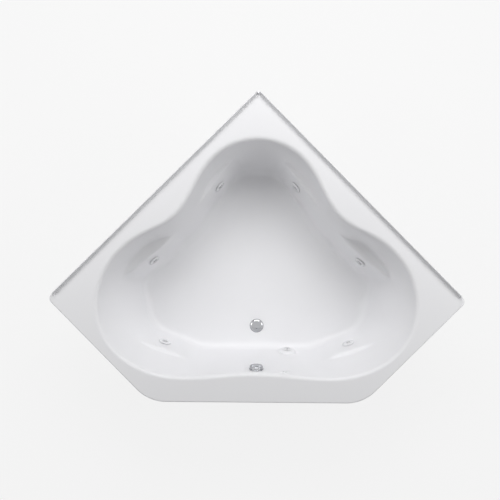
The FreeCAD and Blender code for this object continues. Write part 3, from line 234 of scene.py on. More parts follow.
def lathe(name: str, profile: np.ndarray, place: Place, segments: int = 96) -> bpy.types.Object:
    """Return a turned piece: x = r cos a, y = r sin a, z = s, for each (r, s) of the profile and each angle a.

    A profile whose two ends lie on the axis closes there, and any other joins its last point to its first.
    """
    angle = np.linspace(0.0, 2.0 * math.pi, segments, endpoint=False)[:, None]
    r, s = profile[None, :, 0], profile[None, :, 1]
    local = np.stack([r * np.cos(angle), r * np.sin(angle), s + 0.0 * angle], axis=-1)
    on_axis = max(profile[0, 0], profile[-1, 0]) < 1e-9
    return make_mesh(name, place.put(local), grid_faces(segments, len(profile), True, not on_axis))


def swept(name: str, section: np.ndarray, path: np.ndarray, side: np.ndarray, top: np.ndarray) -> bpy.types.Object:
    """Return a closed section carried along a path: path + side * section's x + top * section's y, with flat ends."""
    rows = path[:, None] + section[None, :, :1] * side + section[None, :, 1:] * top
    middle = rows.mean(axis=1, keepdims=True)
    capped = np.concatenate([np.repeat(middle[:1], rows.shape[1], axis=1), rows,
                             np.repeat(middle[-1:], rows.shape[1], axis=1)], axis=0)
    return make_mesh(name, capped, grid_faces(len(capped), rows.shape[1], False, True))


# ---------------------------------------------------------------- finishes
def linear(colour: tuple[int, int, int]) -> tuple[float, float, float, float]:
    """Return an 8-bit screen colour as the linear colour that a shader takes."""
    part = np.array(colour) / 255.0
    value = np.where(part <= 0.04045, part / 12.92, ((part + 0.055) / 1.055) ** 2.4)
    return (*[float(x) for x in value], 1.0)


class Grain(Enum):
    """How a finish varies over its surface."""

    CLOUD = "soft cloudy patches"
    PEBBLE = "fine moulded pebbles"
    BRUSHED = "short lines along one direction"
    WOOD = "long grain with rings"
    WOUND = "fine parallel wires"


NOISE_DETAIL = 5.0
RING_WAVER = 0.4
BUMP_STRENGTH = 0.6
COAT_SHARE = 0.5
# How each pattern is scaled along each axis: the lower the number, the longer its cells.
STRETCHES = {
    Grain.BRUSHED: (1.0, 0.08, 1.0),
    Grain.WOOD: (0.12, 1.0, 1.0),
    Grain.WOUND: (0.02, 1.0, 0.02),
}


@dataclass(frozen=True)
class Finish:
    """One finish: a principled shader whose colour, roughness and height vary with object coordinates."""

    slot: str
    colour: tuple[int, int, int]
    second: tuple[int, int, int]
    roughness: tuple[float, float]
    grain: Grain = Grain.CLOUD
    size: float = 0.02
    height: float = 0.0
    metallic: float = 0.0
    coat: float = 0.0
    subsurface: float = 0.0

    def stretch(self) -> tuple[float, float, float]:
        """Return how the pattern is scaled along each axis, in cells per metre."""
        x, y, z = STRETCHES.get(self.grain, (1.0, 1.0, 1.0))
        return x / self.size, y / self.size, z / self.size

    def material(self) -> bpy.types.Material:
        """Return the material, made once for each slot."""
        name = self.slot + "_finish"
        made = bpy.data.materials.get(name)
        if made is not None:
            return made
        made = bpy.data.materials.new(name)
        made.use_nodes = True
        nodes, links = made.node_tree.nodes, made.node_tree.links
        shader = nodes["Principled BSDF"]
        shader.inputs["Metallic"].default_value = self.metallic
        shader.inputs["Coat Weight"].default_value = self.coat
        shader.inputs["Coat Roughness"].default_value = self.roughness[0] * COAT_SHARE
        shader.inputs["Subsurface Weight"].default_value = self.subsurface
        place = nodes.new("ShaderNodeTexCoord")
        scale = nodes.new("ShaderNodeMapping")
        scale.inputs["Scale"].default_value = self.stretch()
        links.new(place.outputs["Object"], scale.inputs["Vector"])
        if self.grain is Grain.PEBBLE:
            pattern = nodes.new("ShaderNodeTexVoronoi")
            level = pattern.outputs["Distance"]
        else:
            pattern = nodes.new("ShaderNodeTexNoise")
            pattern.inputs["Detail"].default_value = NOISE_DETAIL
            pattern.inputs["Distortion"].default_value = RING_WAVER if self.grain is Grain.WOOD else 0.0
            level = pattern.outputs["Fac"]
        pattern.inputs["Scale"].default_value = 1.0
        links.new(scale.outputs["Vector"], pattern.inputs["Vector"])
        tint = nodes.new("ShaderNodeMix")
        tint.data_type = "RGBA"
        tint.inputs["A"].default_value = linear(self.colour)
        tint.inputs["B"].default_value = linear(self.second)
        links.new(level, tint.inputs["Factor"])
        links.new(tint.outputs["Result"], shader.inputs["Base Color"])
        gloss = nodes.new("ShaderNodeMapRange")
        gloss.inputs["To Min"].default_value, gloss.inputs["To Max"].default_value = self.roughness
        links.new(level, gloss.inputs["Value"])
        links.new(gloss.outputs["Result"], shader.inputs["Roughness"])
        if self.height:
            bump = nodes.new("ShaderNodeBump")
            bump.inputs["Strength"].default_value = BUMP_STRENGTH
            bump.inputs["Distance"].default_value = self.height
            links.new(level, bump.inputs["Height"])
            links.new(bump.outputs["Normal"], shader.inputs["Normal"])
        return made

    def dress(self, piece: bpy.types.Object) -> None:
        """Give a piece this finish alone."""
        piece.data.materials.clear()
        piece.data.materials.append(self.material())


FINISHES = {finish.slot: finish for finish in (
    Finish("acrylic", (241, 241, 243), (239, 239, 241), (0.40, 0.46), size=0.25),
    Finish("jet_white", (238, 238, 240), (234, 234, 236), (0.2, 0.28), size=0.03, height=0.00002),
    Finish("chrome", (184, 185, 188), (174, 175, 178), (0.05, 0.1), size=0.02, metallic=1.0),
    Finish("cover_white", (240, 240, 242), (236, 236, 238), (0.3, 0.38), size=0.02, height=0.00003),
    Finish("pipe_white", (226, 226, 222), (214, 214, 208), (0.38, 0.5), size=0.05, height=0.00005),
    Finish("hose_clear", (212, 216, 216), (196, 203, 205), (0.3, 0.42), size=0.03, height=0.00005, subsurface=0.2),
    Finish("waste_plastic", (52, 52, 53), (40, 40, 41), (0.42, 0.55), Grain.PEBBLE, 0.0012, 0.00004),
    Finish("brass", (206, 172, 104), (186, 148, 84), (0.2, 0.34), Grain.BRUSHED, 0.002, 0.00002, 1.0),
    Finish("cable_black", (38, 38, 39), (30, 30, 31), (0.45, 0.6), size=0.01, height=0.00005),
    Finish("rubber", (44, 44, 44), (34, 34, 34), (0.62, 0.78), Grain.PEBBLE, 0.0015, 0.00005),
    Finish("pump_black", (50, 50, 53), (38, 38, 41), (0.4, 0.52), Grain.PEBBLE, 0.0015, 0.00006),
    Finish("motor_paint", (82, 88, 94), (72, 78, 84), (0.26, 0.4), size=0.006, height=0.00008, coat=0.3),
    Finish("steel", (196, 197, 198), (176, 177, 179), (0.2, 0.34), Grain.BRUSHED, 0.0015, 0.00002, 1.0),
    Finish("winding", (176, 104, 66), (142, 78, 46), (0.3, 0.42), Grain.WOUND, 0.0012, 0.0002, 0.8),
    Finish("timber", (206, 176, 134), (172, 136, 94), (0.55, 0.72), Grain.WOOD, 0.012, 0.0003),
)}


def finished(piece: bpy.types.Object, slot: str, node: str, body: str) -> None:
    """Dress a piece, let it stand for a node of the frame and ride on a body, and report it."""
    FINISHES[slot].dress(piece)
    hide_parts(node)
    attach(piece, body)
    LOG.info("%s: %d faces", piece.name, len(piece.data.polygons))


# ---------------------------------------------------------------- shell
@dataclass(frozen=True)
class RimRun:
    """One run of the rim's right half, from the back to the front.

    size is the run's radius, or its length where it is straight; turn is in degrees, to the left positive.  The
    insets are how far the floor's edge lies inside the rim at the run's middle and end, and the bulges how far
    the wall leans into the basin there.
    """

    size: float
    turn: float
    insets: tuple[float, float]
    bulges: tuple[float, float] = (0.0, 0.0)


@dataclass(frozen=True)
class Pad:
    """Flat pad in the wall under one jet, with its ledge.

    half is half of the pad's width, blend how far its sides fade to either hand, and soft how far its top and
    its foot are rounded.
    """

    place: Place
    half: float
    blend: float
    soft: float


@dataclass(frozen=True)
class Seat:
    """Small round flat in the wall."""

    place: Place
    radius: float


@dataclass
class Shell:
    """One-piece acrylic bath: lip, deck, three-lobed basin with six pads, and the tile flange.

    The lengths down to wall_gap shape it.  The counts and shares after them say how its skin is cut in faces.
    """

    wall_leg: float = 1.524
    short_side: float = 0.745
    back_corner_r: float = 0.012
    side_corner_r: float = 0.030
    front_corner_r: float = 0.215
    deck_z: float = 0.545
    thickness: float = 0.006
    lip_drop: float = 0.038
    lip_round: float = 0.005
    flange_h: float = 0.025
    flange_t: float = 0.005
    flange_foot_r: float = 0.014
    flange_side_gap: float = 0.040
    flange_back_gap: float = 0.014
    rim_back: float = 1.3702
    floor_z: float = 0.105
    roll_r: float = 0.026
    cove_r: float = 0.055
    back_inset: float = 0.169
    front_insets: tuple[float, float] = (0.142, 0.140)
    drain_in: float = 0.3532
    drain_hole_r: float = 0.026
    pad_rise: float = 0.090
    lift_deg: float = 35.0
    least_lean: float = 0.15
    lean_fade: float = 0.02
    soft_rest: float = 1 / 15
    seat_fades: tuple[float, float] = (0.002, 0.004)
    seat_reach: float = 0.03
    flange_sunk: float = 0.003
    wall_gap: float = 0.0002
    basin_middle: float = 0.60
    columns: int = 420
    arc_columns: tuple[int, ...] = (10, 12, 40, 40, 12)
    rim_samples: int = 4000
    look_ahead: float = 1e-4
    lip_count: int = 6
    wall_counts: tuple[int, int, int] = (10, 104, 18)
    under_counts: tuple[int, int, int] = (5, 26, 8)
    deck_shares: tuple[float, ...] = (0.04, 0.3, 0.65, 0.94)
    under_shares: tuple[float, ...] = (0.4, 0.8)
    floor_counts: tuple[int, int] = (34, 10)
    floor_crowding: float = 1.15
    hole_evening: float = 0.4
    runs: tuple[RimRun, ...] = (
        RimRun(0.353, -62.5, (0.160, 0.150)),
        RimRun(0.152, 0.0, (0.152, 0.160)),
        RimRun(0.292, 37.5, (0.168, 0.175)),
        RimRun(0.050, 0.0, (0.188, 0.200), (-0.010, -0.020)),
        RimRun(0.608, -12.0, (0.208, 0.215), (-0.023, -0.020)),
        RimRun(0.415, -53.0, (0.212, 0.250), (-0.005, 0.0)),
        RimRun(0.362, -58.0, (0.245, 0.220), (0.0, 0.008)),
        RimRun(0.528, -31.0, (0.205, 0.188), (0.014, 0.008)),
        RimRun(1.578, -7.6, (0.160, 0.147)),
    )

    @property
    def half_w(self) -> float:
        """Half of the bath's width between its two side corners."""
        return self.wall_leg / math.sqrt(2)

    @property
    def front_y(self) -> float:
        """Place of the front edge."""
        sharp = self.half_w + self.short_side / math.sqrt(2)
        return -(sharp - self.back_corner_r * (math.sqrt(2) - 1)) / 2

    @property
    def back_y(self) -> float:
        """Place where the two walls would meet."""
        return self.front_y + (self.wall_leg + self.short_side) / math.sqrt(2)

    def rim_table(self) -> np.ndarray:
        """Return one row (x, y, heading, inset, bulge) for each station, all the way round from the back.

        Each run is cut in two arcs; an arc's chord is 2 r sin(turn / 4) for half its turn, laid off at the
        heading halfway along it.
        """
        x, y, heading = 0.0, self.front_y + self.rim_back, 0.0
        half = [(x, y, heading, self.back_inset, 0.0)]
        for run in self.runs:
            turn = math.radians(run.turn)
            chord = 2 * run.size * math.sin(abs(turn) / 4) if turn else run.size / 2
            for inset, bulge in zip(run.insets, run.bulges):
                x += chord * math.cos(heading + turn / 4)
                y += chord * math.sin(heading + turn / 4)
                heading += turn / 2
                half.append((x, y, heading, inset, bulge))
        turn = -math.pi - heading
        chord = 2 * (x / math.sin(turn)) * math.sin(turn / 4)
        for inset in self.front_insets:
            x += chord * math.cos(heading + turn / 4)
            y += chord * math.sin(heading + turn / 4)
            heading += turn / 2
            half.append((x, y, heading, inset, 0.0))
        right = np.array(half)
        left = right[-2:0:-1] * np.array([-1.0, 1.0, -1.0, 1.0, 1.0])
        left[:, 2] -= 2 * math.pi
        return np.concatenate([right, left])

    def outline(self) -> np.ndarray:
        """Return one point (x, y) for each column round the deck's edge, closer together where it turns.

        The edge is five straights joined by arcs; a point on an arc is its centre plus the radius at an angle
        that moves evenly from one straight's normal to the next.
        """
        edge = 1 / math.sqrt(2)
        front_x = self.half_w - self.short_side * edge
        corners = np.array([(0.0, self.back_y), (self.half_w, self.back_y - self.half_w), (front_x, self.front_y),
                            (-front_x, self.front_y), (-self.half_w, self.back_y - self.half_w)])
        radii = np.array([self.back_corner_r, self.side_corner_r, self.front_corner_r, self.front_corner_r,
                          self.side_corner_r])
        before = unit(np.roll(corners, 1, axis=0) - corners)
        after = unit(np.roll(corners, -1, axis=0) - corners)
        half = np.arccos(np.clip((before * after).sum(1), -1, 1)) / 2
        centre = corners + unit(before + after) * (radii / np.sin(half))[:, None]
        start = corners + before * (radii / np.tan(half))[:, None] - centre
        sweep = math.pi - 2 * half
        arc_steps = np.array(self.arc_columns)
        points = []
        straights = np.linalg.norm(np.roll(corners, -1, axis=0) - corners, axis=1)
        share = (self.columns - arc_steps.sum()) * straights / straights.sum()
        line_steps = np.diff(np.concatenate([[0], np.round(np.cumsum(share))])).astype(int)
        for k in range(len(corners)):
            a = -np.linspace(0.0, sweep[k], arc_steps[k] + 1)[:, None]
            x, y = start[k]
            points.append(centre[k] + np.concatenate([x * np.cos(a) - y * np.sin(a),
                                                      x * np.sin(a) + y * np.cos(a)], axis=1))
            following = (k + 1) % len(corners)
            t = np.linspace(0.0, 1.0, line_steps[k] + 1)[1:-1, None]
            points.append(points[-1][-1] * (1 - t) + (centre[following] + start[following]) * t)
        return np.concatenate(points)[:self.columns]

    def columns_on_rim(self, edge: np.ndarray) -> tuple[np.ndarray, ...]:
        """Return the rim's point, inward direction, inset and bulge that stand across from each edge point.

        A column joins the edge point to the rim point at the same bearing from the middle of the basin.
        """
        table = self.rim_table()
        step = np.linalg.norm(np.roll(table[:, :2], -1, axis=0) - table[:, :2], axis=1)
        knots = np.concatenate([[0.0], np.cumsum(step)])
        lap = knots[-1]
        fine = np.linspace(0.0, lap, self.rim_samples, endpoint=False)
        curve = periodic_spline(knots, table[:, :2], fine)
        middle = np.array([0.0, self.front_y + self.basin_middle])
        bearing = np.unwrap(np.arctan2(*(curve - middle).T))
        wanted = np.unwrap(np.arctan2(*(edge - middle).T))
        wanted = wanted - 2 * math.pi * np.round((wanted[0] - bearing[0]) / (2 * math.pi))
        laps = (-1, 0, 1)
        bearings = np.concatenate([bearing + 2 * math.pi * k for k in laps])
        at = np.interp(wanted, bearings, np.concatenate([fine + lap * k for k in laps])) % lap
        rows = periodic_spline(knots, table[:, [0, 1, 3, 4]], at)
        ahead = periodic_spline(knots, table[:, :2], (at + self.look_ahead) % lap)
        along = unit(ahead - rows[:, :2])
        inward = np.stack([along[:, 1], -along[:, 0]], axis=1)
        return rows[:, :2], inward, rows[:, 2], rows[:, 3]

    def wall_rows(self, inset: np.ndarray, bulge: np.ndarray, offset: float, counts: tuple[int, int, int]
                  ) -> tuple[np.ndarray, np.ndarray]:
        """Return how far in and how high each row of the wall lies: rounding, straight wall, cove.

        The rounding and the cove are arcs, the wall is the line that touches both, and the bulge adds
        bulge * sin^2(pi f) inwards at the share f of its length.

        Args:
            inset: How far in the floor's edge lies, for each column.
            bulge: The wall's bulge, for each column.
            offset: How far the surface lies outside the visible one, 0 or the shell's thickness.
            counts: Rows on the rounding, the wall and the cove.

        Returns:
            Two arrays (columns, rows).
        """
        roll, cove = self.roll_r - offset, self.cove_r + offset
        drop = self.deck_z - self.floor_z - roll - cove
        run = np.sqrt(inset**2 + drop**2 - (roll + cove) ** 2)[:, None]
        steep = (np.arctan2(drop, inset) + np.arctan2(roll + cove, run[:, 0]))[:, None]
        a = steep * np.linspace(0.0, 1.0, counts[0])
        reach = [roll * np.sin(a)]
        height = [self.deck_z - offset - roll * (1 - np.cos(a))]
        f = np.linspace(0.0, 1.0, counts[1] + 2)[None, 1:-1]
        reach.append(reach[0][:, -1:] + run * f * np.cos(steep) + bulge[:, None] * np.sin(math.pi * f) ** 2)
        height.append(height[0][:, -1:] - run * f * np.sin(steep))
        a = steep * np.linspace(1.0, 0.0, counts[2])
        reach.append(inset[:, None] - cove * np.sin(a))
        height.append(self.floor_z - offset + cove * (1 - np.cos(a)))
        return np.concatenate(reach, axis=1), np.concatenate(height, axis=1)

    def pressed(self, points: np.ndarray, inward: np.ndarray, pads: list[Pad], seats: list[Seat],
                offset: float) -> np.ndarray:
        """Return the wall's points pushed out to the pads and on to the seats.

        Every point moves along its column's own direction, which is inwards and lift_deg upwards.  The way to
        a pad is the lesser of the way to its plane and the way to its ledge's height, less the little that the
        rounding leaves, and counts only where it is positive, within the pad's width and on columns that lean
        towards the pad.  A seat takes the points within its radius on to its plane.

        Args:
            points: (columns, rows, 3) places on the wall and the floor.
            inward: (columns, 2) level directions into the basin.
            pads: The pads to press out.
            seats: The round flats to press on.
            offset: How far the surface lies outside the visible one, 0 or the shell's thickness.

        Returns:
            The places after the press.
        """
        lift = math.radians(self.lift_deg)
        way = np.concatenate([inward * math.cos(lift), np.full((len(inward), 1), math.sin(lift))], axis=1)
        way = np.broadcast_to(way[:, None], points.shape)
        moved = points.copy()
        for pad in pads:
            side, _, axis = pad.place.frame()
            origin = np.array(pad.place.origin) - axis * offset
            lean = way @ axis
            to_plane = -((points - origin) @ axis) / np.maximum(lean, self.least_lean)
            to_ledge = (origin[2] + self.pad_rise - points[..., 2]) / way[..., 2]
            push = soft_floor(soft_least(to_plane, to_ledge, pad.soft), pad.soft) - pad.soft * self.soft_rest
            across = np.abs((points - origin) @ side)
            weight = 1 - smooth_step(across, pad.half - pad.blend, pad.half + pad.blend)
            weight = weight * np.clip(1 + (lean - self.least_lean) / self.lean_fade, 0, 1)
            moved += way * (np.maximum(push, 0.0) * weight)[..., None]
        for seat in seats:
            axis = seat.place.frame()[2]
            local = moved - (np.array(seat.place.origin) - axis * offset)
            height = local @ axis
            spread = np.linalg.norm(local - height[..., None] * axis, axis=-1)
            inside, outside = self.seat_fades
            weight = 1 - smooth_step(spread, seat.radius - inside, seat.radius + outside)
            weight = np.where(np.abs(height) < self.seat_reach, weight, 0.0)
            moved -= axis * (height * weight)[..., None]
        return moved

    def surface(self, pads: list[Pad], seats: list[Seat]) -> np.ndarray:
        """Return the whole skin as one grid (columns, rows, 3), closed both ways like a ring.

        A column starts at the lip's foot and runs up the lip, over its rounding, across the deck, down the
        wall, along the floor into the drain hole, and back the same way underneath.
        """
        edge = self.outline()
        rim, inward, inset, bulge = self.columns_on_rim(edge)
        along = unit(np.roll(edge, -1, axis=0) - np.roll(edge, 1, axis=0))
        outward = np.stack([-along[:, 1], along[:, 0]], axis=1)
        drain = np.array([0.0, self.front_y + self.drain_in])
        hole = drain + self.drain_hole_r * self.even_bearings(rim - drain)

        def ring(plan: np.ndarray, level: float) -> np.ndarray:
            """Return one row of the grid: a plan's points at one level."""
            return np.concatenate([plan, np.full((len(plan), 1), level)], axis=1)

        skins = []
        for offset, counts, deck_shares, floor_count in (
                (0.0, self.wall_counts, self.deck_shares, self.floor_counts[0]),
                (self.thickness, self.under_counts, self.under_shares, self.floor_counts[1])):
            top = self.deck_z - offset
            lip_r = max(self.lip_round - offset, 0.0)
            column = [ring(edge - outward * offset, self.deck_z - self.lip_drop)]
            for a in np.linspace(0.0, math.pi / 2, self.lip_count if lip_r else 1):
                inset_here = offset + lip_r * (1 - math.cos(a))
                column.append(ring(edge - outward * inset_here, top - lip_r * (1 - math.sin(a))))
            flat = column[-1]
            reach, height = self.wall_rows(inset, bulge, offset, counts)
            wall = np.concatenate([rim[:, None] + inward[:, None] * reach[..., None], height[..., None]], axis=2)
            column.extend(flat * (1 - t) + wall[:, 0] * t for t in deck_shares)
            end = ring(hole, self.floor_z - offset)
            share = np.linspace(0.0, 1.0, floor_count)[None, 1:, None] ** self.floor_crowding
            floor = wall[:, -1:] * (1 - share) + end[:, None] * share
            body = self.pressed(np.concatenate([wall, floor], axis=1), inward, pads, seats, offset)
            skins.append(np.concatenate([np.stack(column, axis=1), body], axis=1))
        return np.concatenate([skins[0], skins[1][:, ::-1]], axis=1)

    def even_bearings(self, offsets: np.ndarray) -> np.ndarray:
        """Return unit directions of the offsets, their bearings spread by a share towards even spacing."""
        bearing = np.unwrap(np.arctan2(offsets[:, 1], offsets[:, 0]))
        even = bearing[0] - np.arange(len(bearing)) * 2 * math.pi / len(bearing)
        even += (bearing - even).mean()
        blended = bearing * (1 - self.hole_evening) + even * self.hole_evening
        return np.stack([np.cos(blended), np.sin(blended)], axis=1)

    def flange(self, side: int) -> bpy.types.Object:
        """Return the upstand along one wall: its section is a straight back, a rounded tip and a cove."""
        foot, cove, tip = self.flange_t + self.flange_foot_r, self.flange_foot_r, self.flange_t / 2
        bend = np.linspace(0.0, math.pi / 2, 8)[:, None]
        cove_run = np.concatenate([foot - cove * np.sin(bend), cove - cove * np.cos(bend)], axis=1)
        tip_a = np.linspace(0.0, math.pi, 9)[:, None]
        tip_run = np.concatenate([tip + tip * np.cos(tip_a), self.flange_h - tip + tip * np.sin(tip_a)], axis=1)
        section = np.concatenate([[(self.wall_gap, -self.flange_sunk), (foot, -self.flange_sunk)], cove_run, tip_run])
        section[:, 0] = np.maximum(section[:, 0], self.wall_gap)
        edge = 1 / math.sqrt(2)
        start = np.array([side * self.half_w, self.back_y - self.half_w, self.deck_z])
        along = np.array([-side * edge, edge, 0.0])
        inward = np.array([-side * edge, -edge, 0.0])
        length = self.wall_leg - self.flange_side_gap - self.flange_back_gap
        t = np.linspace(0.0, 1.0, 24)[:, None]
        path = start + along * (self.flange_side_gap + length * t)
        name = "tile_flange_right" if side > 0 else "tile_flange_left"
        return swept(name, section, path, inward, np.array([0.0, 0.0, 1.0]))

    def build(self, pads: list[Pad], seats: list[Seat], holes: list[tuple[Place, float]]) -> None:
        """Make the shell with its holes and the two flanges, and dress them."""
        skin = self.surface(pads, seats)
        shell = make_mesh("bath_shell_skin", skin, grid_faces(skin.shape[0], skin.shape[1], True, True), 40.0)
        cut_holes(shell, holes)
        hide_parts("bath_shell")
        for piece in (shell, self.flange(1), self.flange(-1)):
            FINISHES["acrylic"].dress(piece)
            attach(piece, "bath")
            LOG.info("%s: %d faces", piece.name, len(piece.data.polygons))


def cut_with(piece: bpy.types.Object, tools: list[bpy.types.Object]) -> None:
    """Take the tools' shapes out of a piece, and remove the tools."""
    for tool in tools:
        cut = piece.modifiers.new(tool.name, "BOOLEAN")
        cut.operation = "DIFFERENCE"
        cut.solver = "EXACT"
        cut.object = tool
    bpy.context.view_layer.update()
    graph = bpy.context.evaluated_depsgraph_get()
    done = bpy.data.meshes.new_from_object(piece.evaluated_get(graph))
    piece.modifiers.clear()
    piece.data = done
    for tool in tools:
        bpy.data.objects.remove(tool)


def cut_holes(piece: bpy.types.Object, holes: list[tuple[Place, float]], depth: float = 0.03) -> None:
    """Cut round holes through a piece, each along its place's axis and depth long both ways."""
    tools = []
    for number, (place, radius) in enumerate(holes):
        profile = np.array([(0.0, -depth), (radius, -depth), (radius, depth), (0.0, depth)])
        tools.append(lathe("hole_tool_%d" % number, profile, place, 64))
    cut_with(piece, tools)


# ---------------------------------------------------------------- jets
@dataclass
class Jet:
    """One jet: its fitting in the wall, a turning trim with a sleeve, and the bored ball that tilts in it."""

    number: int
    place: Place
    fitting_r: float = 0.0272
    fitting_t: float = 0.0025
    fitting_bore_r: float = 0.020
    neck_r: float = 0.0256
    neck_l: float = 0.026
    trim_r: float = 0.033
    trim_t: float = 0.008
    foot: float = 0.0029
    undercut: float = 0.0026
    edge_t: float = 0.0036
    sleeve_r: float = 0.0196
    sleeve_l: float = 0.014
    ball_r: float = 0.015
    ball_gap: float = 0.0004
    ball_back: float = 0.0105
    lip_bore_r: float = 0.0134
    lip_t: float = 0.0016
    nozzle_r: float = 0.0075
    bore_r: float = 0.0055
    nozzle_l: float = 0.0135
    funnel_edge: float = 0.0055
    funnel_rim: float = 0.0012
    funnel_floor: float = 0.0005

    def fitting(self) -> bpy.types.Object:
        """Return the fitting: a flange on the wall and the neck through it, both bored."""
        profile = rounded_profile([
            (self.fitting_bore_r, -self.neck_l, 0.0), (self.neck_r, -self.neck_l, 0.0005), (self.neck_r, 0.0, 0.0),
            (self.fitting_r, 0.0, 0.0), (self.fitting_r, self.fitting_t, 0.0006),
            (self.fitting_bore_r, self.fitting_t, 0.0)])
        return lathe("jet_fitting_%d" % self.number, profile, self.place, 96)

    def trim(self) -> bpy.types.Object:
        """Return the domed ring: its face falls from the mouth to the edge, and its foot carries the sleeve."""
        top = self.foot + self.trim_t
        seat = self.ball_r + self.ball_gap
        profile = rounded_profile([
            (seat, -self.sleeve_l + self.lip_t, 0.0), (self.lip_bore_r, -self.sleeve_l + self.lip_t, 0.0),
            (self.lip_bore_r, -self.sleeve_l, 0.0005), (self.sleeve_r, -self.sleeve_l, 0.0008),
            (self.sleeve_r, self.foot, 0.0), (self.fitting_r, self.foot, 0.0006),
            (self.trim_r, self.foot + self.undercut, 0.0005), (self.trim_r, self.foot + self.edge_t, 0.001),
            (self.trim_r - 0.003, top - 0.002, 0.002), (self.trim_r - 0.008, top, 0.003),
            (seat + self.lip_t, top, 0.001),
            (self.lip_bore_r, top - self.lip_t, 0.0004), (seat, top - 2 * self.lip_t, 0.0)])
        return lathe("jet_trim_ring_%d" % self.number, profile, self.place, 96)

    def nozzle(self) -> bpy.types.Object:
        """Return the bored ball: an arc from its flat back to its front edge, a funnel in it, and the tip."""
        low = -math.asin(self.ball_back / self.ball_r)
        a = np.linspace(low, math.asin(self.funnel_edge / self.ball_r), 24)
        ball = np.stack([self.ball_r * np.cos(a), self.ball_r * np.sin(a)], axis=1)
        edge_r = ball[-1, 0] - self.funnel_rim
        tip = rounded_profile([(edge_r, self.funnel_edge, 0.0), (self.nozzle_r + 0.002, self.funnel_floor, 0.001),
                               (self.nozzle_r, self.funnel_floor, 0.0), (self.nozzle_r, self.nozzle_l, 0.0008),
                               (self.bore_r, self.nozzle_l, 0.0008), (self.bore_r, -self.ball_back, 0.0)])
        return lathe("jet_nozzle_ball_%d" % self.number, np.concatenate([ball, tip]), self.place, 72)

    def build(self) -> None:
        """Make and dress the three pieces."""
        finished(self.fitting(), "jet_white", "jet_fittings", "bath")
        finished(self.trim(), "jet_white", "jet_trim_%d" % self.number, "trim_%d" % self.number)
        finished(self.nozzle(), "jet_white", "jet_nozzle_%d" % self.number, "nozzle_%d" % self.number)


# ---------------------------------------------------------------- drain and overflow
@dataclass
class Drain:
    """The domed cap that closes the drain, on its stem."""

    place: Place
    cap_r: float = 0.034
    seal_r: float = 0.024
    stem_r: float = 0.004
    stem_l: float = 0.034
    seal_z: float = 0.0029
    seal_t: float = 0.002
    cap_t: float = 0.004
    edge: float = 0.003
    dome: float = 0.0055

    def cap(self) -> bpy.types.Object:
        """Return the cap: a rounded edge and a crown that rises as 1 - (r / R)^2, on its seal and stem."""
        under = self.seal_z + self.seal_t
        top = under + self.cap_t
        crown_r = self.cap_r - self.edge
        stem = rounded_profile([(0.0, under - self.stem_l, 0.0), (self.stem_r, under - self.stem_l, 0.0008),
                                (self.stem_r, self.seal_z, 0.0), (self.seal_r, self.seal_z, 0.0008),
                                (self.seal_r, under, 0.0), (self.cap_r, under, 0.0008),
                                (self.cap_r, under + self.cap_t * 0.6, 0.0012), (crown_r, top, 0.001)])
        r = np.linspace(crown_r - 0.0005, 0.0, 14)
        crown = np.stack([r, top + self.dome * (1 - (r / crown_r) ** 2)], axis=1)
        return lathe("drain_cap", np.concatenate([stem[:-1], crown]), self.place, 96)

    def build(self) -> None:
        """Make and dress the cap."""
        finished(self.cap(), "chrome", "drain_stopper", "stopper")


